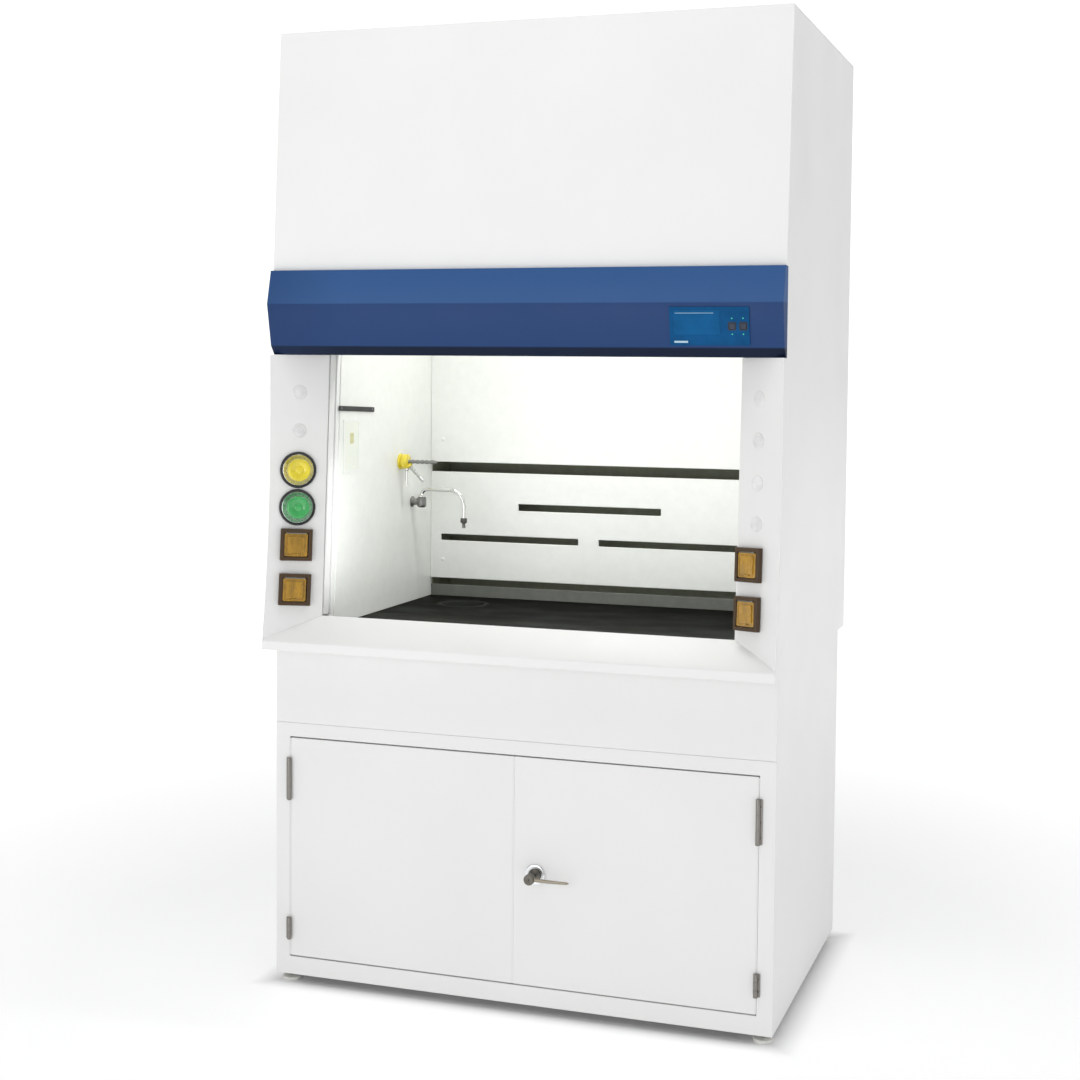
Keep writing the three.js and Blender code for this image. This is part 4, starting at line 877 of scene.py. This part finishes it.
def make_gas_outlet():
    low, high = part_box("gas_outlet")
    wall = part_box("left_liner")[1].x
    middle_y = (low.y + high.y) / 2
    height = high.z - 21 * MM
    at = Matrix.Translation((wall, middle_y, height)) @ Matrix.Rotation(math.pi / 2, 4, "Y")
    body = mm((0, 0.4), (20.6, 0.4), (20.6, 3), (19.5, 4.5), (15, 6))
    body += [(14.4 * MM, 8 * MM), *arc((16 * MM, 11 * MM), 3 * MM, -60, 0, 4), (19 * MM, 18 * MM)]
    body += [*arc((15.5 * MM, 20 * MM), 3.5 * MM, 0, 90, 4), (9 * MM, 24 * MM), (0, 24 * MM)]
    piece = publish("gas_outlet_body", lathe(body, at, 48), LOOKS["outlet_yellow"])
    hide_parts("gas_outlet")
    straight = lathe(nozzle_profile(23.5 * MM, 79 * MM, 5.4 * MM), at, 32)
    publish("gas_outlet_nozzle", straight, GREY_METAL, smooth=30)
    slanted = at @ Matrix.Translation((0, 0, 15 * MM)) @ Matrix.Rotation(math.pi / 4, 4, "Y")
    down = lathe(nozzle_profile(17 * MM, 52 * MM, 5.2 * MM), slanted, 32)
    publish("gas_outlet_low_nozzle", down, LIGHT_METAL, smooth=30)
    collar = mm((0, 12), (8, 12), (8, 17), (6.6, 19), (0, 19))
    piece = publish("gas_outlet_collar", lathe(collar, slanted, 32), LOOKS["outlet_yellow"])
    below = Matrix.Translation((wall + 18 * MM, middle_y, height))
    stem = mm((0, -62), (3.4, -62), (3.4, -24), (6, -22), (6, -15))
    stem += mm((0, -15))
    publish("gas_outlet_stem", lathe(stem, below, 28), LOOKS["chrome"])


make_gas_outlet()


def make_water():
    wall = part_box("left_liner")[1].x
    place = Vector(joint("spout_swivel")["pos_m"])
    at = Matrix.Translation((wall, place.y, place.z)) @ Matrix.Rotation(math.pi / 2, 4, "Y")
    reach = place.x - wall
    flange = mm((0, 0.4), (14, 0.4), (14, 3), (12.6, 4.5), (9, 7))
    flange += [(8.4 * MM, reach), (0, reach)]
    body = mm((0, -14), (9, -14), (11.6, -11), (12, -8), (12, 9))
    body += mm((11, 12), (8.4, 13), (0, 13))
    upright = Matrix.Translation(place)
    fitting = merged(lathe(flange, at, 40), lathe(body, upright, 40))
    piece = publish("water_fitting_body", fitting, GREY_METAL)
    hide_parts("water_fitting")
    low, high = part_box("gooseneck")
    radius = 5.2 * MM
    top = high.z - 6 * MM
    tip_x = high.x - 9 * MM
    route = []
    bend = 16 * MM
    wide = 40 * MM
    route.append((place.x, place.y, place.z + 13.4 * MM))
    for i in range(9):
        a = math.pi / 2 * i / 8
        route.append((place.x + bend * (1 - math.cos(a)), place.y, top - bend + bend * math.sin(a)))
    for i in range(13):
        a = math.pi / 2 * i / 12
        route.append((tip_x - wide + wide * math.sin(a), place.y, top - wide + wide * math.cos(a)))
    route.append((tip_x, place.y, low.z + 24 * MM))
    piece = publish("spout_tube", tube(route, radius, 24), LOOKS["chrome"], "spout", smooth=50)
    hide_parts("gooseneck")
    end = Matrix.Translation((tip_x, place.y, low.z))
    tip = mm((0, 2), (3, 2), (3, 0.2), (4.4, 0.2), (4.8, 4))
    tip += mm((4.2, 6), (4.8, 8), (4.2, 10), (5, 13), (0, 13))
    publish("spout_tip", lathe(tip, end, 32), GREY_METAL, "spout", smooth=30)
    grip = mm((0, 13), (6, 13), (8.6, 15), (8.8, 24), (7, 26.5), (0, 26.5))
    publish("spout_collar", lathe(grip, end, 32), DARK_HUB, "spout", smooth=30)
    nut = mm((5, 13.5), (9, 13.5), (9, 18), (7.4, 20), (5, 20))
    publish("spout_nut", lathe(nut, upright, 32), LOOKS["chrome"], "spout")


make_water()


STRIP_TILT = -2.0
STRIP_PLACE = (-0.171, 1.353)
CARD_PLACE = (-0.20, 1.265)


def make_wall_fittings():
    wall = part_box("left_liner")[1].x
    at = facing((wall, *STRIP_PLACE), (1, 0, 0)) @ Matrix.Rotation(math.radians(STRIP_TILT), 4, "Z")
    strip = slab((198 * MM, 12 * MM, 2 * MM, 4), 0.1 * MM, 3.2 * MM, at)
    piece = publish("wall_strip", strip, STRIP_GREY, bevel=0.8 * MM)
    for i, x in enumerate((-88 * MM, 88 * MM)):
        screw_at = at @ Matrix.Translation((x, 0, 0))
        make_screw(f"wall_strip_screw_{i + 1}", screw_at, 2.6 * MM, 3.2 * MM, "plain_steel")
    card = facing((wall, *CARD_PLACE), (1, 0, 0))
    sleeve = slab((92 * MM, 128 * MM, 4 * MM), 0.1 * MM, 0.9 * MM, card)
    publish("card_holder", sleeve, CARD, bevel=0.3 * MM)
    outer, inner = rounded_outline(92 * MM, 128 * MM, 4 * MM), rounded_outline(80 * MM, 116 * MM, 2 * MM)
    edging = ring_plate(outer, inner, 0.9 * MM, 1.8 * MM, card)
    piece = publish("card_holder_frame", edging, LOOKS["white_liner"], bevel=0.3 * MM)
    patch = slab((20 * MM, 26 * MM, 3 * MM), 0.9 * MM, 1.3 * MM,
                  card @ Matrix.Translation((2 * MM, 18 * MM, 0)))
    publish("card_mark", patch, moulded("card_mark", (0.62, 0.60, 0.32), 0.4))


make_wall_fittings()


def make_baffle_caps():
    low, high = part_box("baffle_lower")
    upper_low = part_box("baffle_upper")[0]
    half = (high.x - low.x) / 2
    spots = [(x * half * 0.93, z) for x in (-1, 1) for z in (low.z + 0.05, high.z - 0.045)]
    spots += [(x * half * 0.93, z) for x in (-1, 1) for z in (upper_low.z + 0.06, upper_low.z + 0.38)]
    for i, (x, z) in enumerate(spots):
        at = facing((x, low.y, z), (0, -1, 0))
        profile = mm((0, 0.1), (5, 0.1), (5, 0.6), (4, 1.3), (0, 1.6))
        piece = publish(f"baffle_cap_{i + 1}", lathe(profile, at, 36), LOOKS["white_liner"])


make_baffle_caps()

# ---- Beads in the doors' gaps ----

EDGE_GAP = 3 * MM
BEAD_DEPTH = 4 * MM


def make_door_bead():
    left_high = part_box("left_door")[1]
    right_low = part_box("right_door")[0]
    low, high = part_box("left_door")
    gap = right_low.x - left_high.x
    at = facing((left_high.x + gap * 0.45, low.y, (low.z + high.z) / 2), (0, -1, 0))
    outline = rounded_outline(gap * 0.9, high.z - low.z - 2 * MM, 0.6 * MM, 3)
    bead = plate(outline, -BEAD_DEPTH, -0.1 * MM, at)
    piece = publish("door_closing_bead", bead, LOOKS["white_powder_coat"], "left_door", bevel=0.2 * MM)


make_door_bead()


def make_edge_beads():
    """A white strip along each door's outer edge, filling most of the gap to the frame."""
    for side_name, side in SIDES:
        low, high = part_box(f"{side_name}_door")
        edge = low.x if side < 0 else high.x
        at = facing((edge + side * (EDGE_GAP * 0.44), low.y, (low.z + high.z) / 2), (0, -1, 0))
        outline = rounded_outline(EDGE_GAP * 0.8, high.z - low.z - 2 * MM, 0.5 * MM, 3)
        bead = plate(outline, -BEAD_DEPTH, -0.3 * MM, at)
        name, body = f"{side_name}_door_edge_bead", f"{side_name}_door"
        piece = publish(name, bead, LOOKS["white_powder_coat"], body, bevel=0.2 * MM)


make_edge_beads()

# ---- Behind the baffle and under the tracks ----

CURB_HEIGHT = 31 * MM
CHEEK_PLACE = 489.8 * MM
LINING_RISE = 0.08


def make_plenum():
    """A dark lining seen through the baffle's slots, its colour painted shade for the shaded plenum, and the
    grey curb at the worktop's rear.
    """
    low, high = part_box("baffle_lower")
    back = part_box("hood_back")[0].y
    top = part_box("worktop")[1].z
    middle_z = (top + high.z) / 2 + 0.02
    tall = high.z - top + LINING_RISE
    at = facing((0, back, middle_z), (0, -1, 0))
    sheet = slab((high.x - low.x, tall, 2 * MM, 3), 0.4 * MM, 2.4 * MM, at)
    publish("plenum_lining", sheet, PLENUM_PAINTED_SHADE, bevel=0.5 * MM)
    for side_name, side in SIDES:
        wall_at = facing((side * CHEEK_PLACE, (high.y + back) / 2, middle_z), (-side, 0, 0))
        outline = rounded_outline(back - high.y - 6 * MM, tall, 2 * MM, 3)
        cheek = plate(outline, 0.2 * MM, 1.6 * MM, wall_at)
        piece = publish(f"{side_name}_plenum_cheek", cheek, PLENUM_PAINTED_SHADE, bevel=0.4 * MM)
    curb_at = facing((0, low.y + 2 * MM, top + CURB_HEIGHT / 2 + 0.2 * MM), (0, -1, 0))
    curb = slab((high.x - low.x - 1 * MM, CURB_HEIGHT, 2 * MM, 3), -8 * MM, 0, curb_at)
    publish("worktop_curb", curb, CURB_GREY, bevel=2 * MM)


make_plenum()


def make_track_feet():
    """The white block that each sash track stands on."""
    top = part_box("worktop")[1].z
    for side_name, _ in SIDES:
        low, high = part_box(f"{side_name}_sash_track")
        post_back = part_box(f"{side_name}_post")[1].y
        at = Matrix.Translation(((low.x + high.x) / 2, post_back + 12 * MM, 0))
        outline = rounded_outline(high.x - low.x - 1 * MM, 22 * MM, 1.5 * MM, 3)
        block = plate(outline, top + 0.2 * MM, low.z - 0.3 * MM, at)
        piece = publish(f"{side_name}_track_foot", block, LOOKS["track_white"], bevel=0.8 * MM)


make_track_feet()


def make_cup_sink():
    low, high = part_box("cup_sink")
    middle = (low + high) / 2
    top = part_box("worktop")[1].z
    at = Matrix.Translation((middle.x, middle.y, 0))
    drain, wall, inner = 18 * MM, 4 * MM, 56 * MM
    floor = top - 140 * MM
    cup = [(drain, low.z), (drain + wall, low.z), (drain + wall, floor), (inner + wall, floor + 50 * MM)]
    cup += [(inner + wall, top + 0.3 * MM), (high.x - middle.x, top + 0.3 * MM)]
    cup += [(high.x - middle.x, top + 0.6 * MM), (high.x - middle.x - 3 * MM, top + 1.1 * MM)]
    cup += [*arc((inner + 3 * MM, top - 1.8 * MM), 3 * MM, 90, 180, 5), (inner, floor + 50 * MM)]
    cup += [(drain + 3 * MM, floor + 6 * MM), (drain, floor + 3 * MM), (drain, low.z)]
    piece = publish("cup_sink_bowl", lathe(cup, at, 72), SINK_RESIN, smooth=35)
    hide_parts("cup_sink")


make_cup_sink()


# ---- Exhaust collar ----


def make_collar_bead():
    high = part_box("hood_roof")[1]
    place = next(m for m in RECORD["mounts"] if m["name"] == "exhaust_collar_rim")["pos_m"]
    axis_y = place[1]
    at = Matrix.Translation((0, axis_y, high.z))
    outer = 125 * MM
    inner = outer - 1 * MM
    bead = [(inner, -17 * MM), *arc((outer - 0.5 * MM, -14 * MM), 3.4 * MM, -80, 80, 8)]
    bead += [(inner, -11 * MM), (inner, -17 * MM)]
    piece = publish("collar_bead", lathe(bead, at, 96), LOOKS["white_powder_coat"], smooth=50)
    flange = [(outer - 1 * MM, -50 * MM), (outer + 16 * MM, -50 * MM), (outer + 16 * MM, -48.4 * MM)]
    flange += [(outer + 1.6 * MM, -48.0 * MM), (outer + 0.2 * MM, -46 * MM), (outer - 1 * MM, -46 * MM)]
    flange += [(outer - 1 * MM, -50 * MM)]
    piece = publish("collar_flange", lathe(flange, at, 96), LOOKS["white_powder_coat"], smooth=35)
    for i in range(8):
        a = 2 * math.pi * (i + 0.5) / 8
        ring = outer + 10 * MM
        spot = at @ Matrix.Translation((ring * math.cos(a), ring * math.sin(a), -49 * MM))
        make_screw(f"collar_screw_{i + 1}", spot, 2.8 * MM, 0.8 * MM, "satin_steel")


make_collar_bead()


def screws_along(name, node, xs, zs, way, level=0.0):
    """Screws at a grid of places on a rear face."""
    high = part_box(node)[1]
    y = high.y - (REAR_SET_IN if node == "hood_back" else 0)
    count = 0
    for x in xs:
        for z in zs:
            count += 1
            at = facing((x, y, z), way)
            make_screw(f"{name}_{count}", at, 3 * MM, level, "satin_steel")


hood_low, hood_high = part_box("hood_back")
screws_along(
    "hood_back_screw", "hood_back", [hood_low.x + 0.018, hood_high.x - 0.018],
    [hood_low.z + 0.06 + i * (hood_high.z - hood_low.z - 0.12) / 5 for i in range(6)], (0, 1, 0),
)
base_low, base_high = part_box("base_back")
screws_along(
    "base_back_screw", "base_back", [base_low.x + 0.018, base_high.x - 0.018],
    [base_low.z + 0.06 + i * (base_high.z - base_low.z - 0.12) / 3 for i in range(4)], (0, 1, 0),
)

# ---- Room: floor and light ----


def make_floor():
    size = 40
    bm = bmesh.new()
    places = ((-size, -size), (size, -size), (size, size), (-size, size))
    bm.faces.new([bm.verts.new((x, y, 0)) for x, y in places])
    mesh = bpy.data.meshes.new("floor")
    bm.to_mesh(mesh)
    bm.free()
    shader = Shader("floor", (0.93, 0.93, 0.93), 0.7, Emission_Color=(1, 1, 1, 1))
    shader.set("Specular IOR Level", 0.1)
    distance = shader.vector_math("LENGTH", shader.place).outputs["Value"]
    glow = shader.ranged(distance, 0.36, 0.72, 1.2, 4.0)
    low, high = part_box("base_floor")
    centre = (-(low.x + high.x) / 2, -(low.y + high.y) / 2, 0)
    moved = shader.vector_math("ADD", shader.place, centre).outputs["Vector"]
    spread = shader.vector_math("ABSOLUTE", moved).outputs["Vector"]
    half = ((high.x - low.x) / 2, (high.y - low.y) / 2, 0)
    past = shader.vector_math("SUBTRACT", spread, half).outputs["Vector"]
    parts = shader.node("ShaderNodeSeparateXYZ", {"Vector": past}).outputs
    # The glow fades out over the last few centimetres to the base and is off beneath it: a painted contact
    # shadow around and under the base.
    outside = shader.combined("MAXIMUM", parts["X"], parts["Y"])
    contact_shadow_fade = shader.ranged(outside, 0.0, 1.0, -0.01, 0.06)
    glow_with_painted_shadow = shader.combined("MULTIPLY", glow, contact_shadow_fade)
    shader.tree.links.new(glow_with_painted_shadow, shader.bsdf.inputs["Emission Strength"])
    mesh.materials.append(shader.material)
    floor = bpy.data.objects.new("floor", mesh)
    bpy.context.scene.collection.objects.link(floor)


def area_light(name, place, target, size, power, colour=(1, 1, 1), seen=True):
    data = bpy.data.lights.new(name, "AREA")
    data.shape = "RECTANGLE"
    data.size, data.size_y = size
    data.energy = power
    data.color = colour
    light = bpy.data.objects.new(name, data)
    light.matrix_world = facing(place, Vector(place) - Vector(target))
    light.visible_camera = False
    light.visible_glossy = seen
    bpy.context.scene.collection.objects.link(light)


def make_world():
    world = bpy.data.worlds.new("room")
    world.use_nodes = True
    tree = world.node_tree
    background = tree.nodes["Background"]
    seen = tree.nodes.new("ShaderNodeBackground")
    seen.inputs["Color"].default_value = (1, 1, 1, 1)
    seen.inputs["Strength"].default_value = 1.2
    background.inputs["Color"].default_value = (0.98, 0.99, 1.0, 1)
    background.inputs["Strength"].default_value = 0.45
    path = tree.nodes.new("ShaderNodeLightPath")
    mix = tree.nodes.new("ShaderNodeMixShader")
    tree.links.new(path.outputs["Is Camera Ray"], mix.inputs[0])
    tree.links.new(background.outputs[0], mix.inputs[1])
    tree.links.new(seen.outputs[0], mix.inputs[2])
    tree.links.new(mix.outputs[0], tree.nodes["World Output"].inputs["Surface"])
    bpy.context.scene.world = world
    bpy.context.scene.view_settings.view_transform = "Standard"


make_floor()
make_world()
area_light("key", (-1.2, -5.3, 1.5), (0, 0, 0.6), (3.4, 2.2), 53)
area_light("overhead", (0.1, -1.6, 4.9), (0, -0.45, 0.9), (4.0, 1.6), 31)
area_light("side_fill", (5.0, 0.8, 2.6), (0.5, 0, 1.0), (3.0, 3.0), 30)
area_light("chamber_fill", (0.0, -0.34, 1.08), (0, 0.31, 1.02), (0.94, 0.30), 1.5, seen=False)
lens_low, lens_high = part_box("lamp_lens")
lens = (lens_low + lens_high) / 2
area_light(
    "chamber_lamp", (lens.x, lens.y, lens_low.z - 6 * MM), (lens.x, lens.y, 0),
    (lens_high.x - lens_low.x, lens_high.y - lens_low.y), 4.4, (1.0, 0.985, 0.96),
)
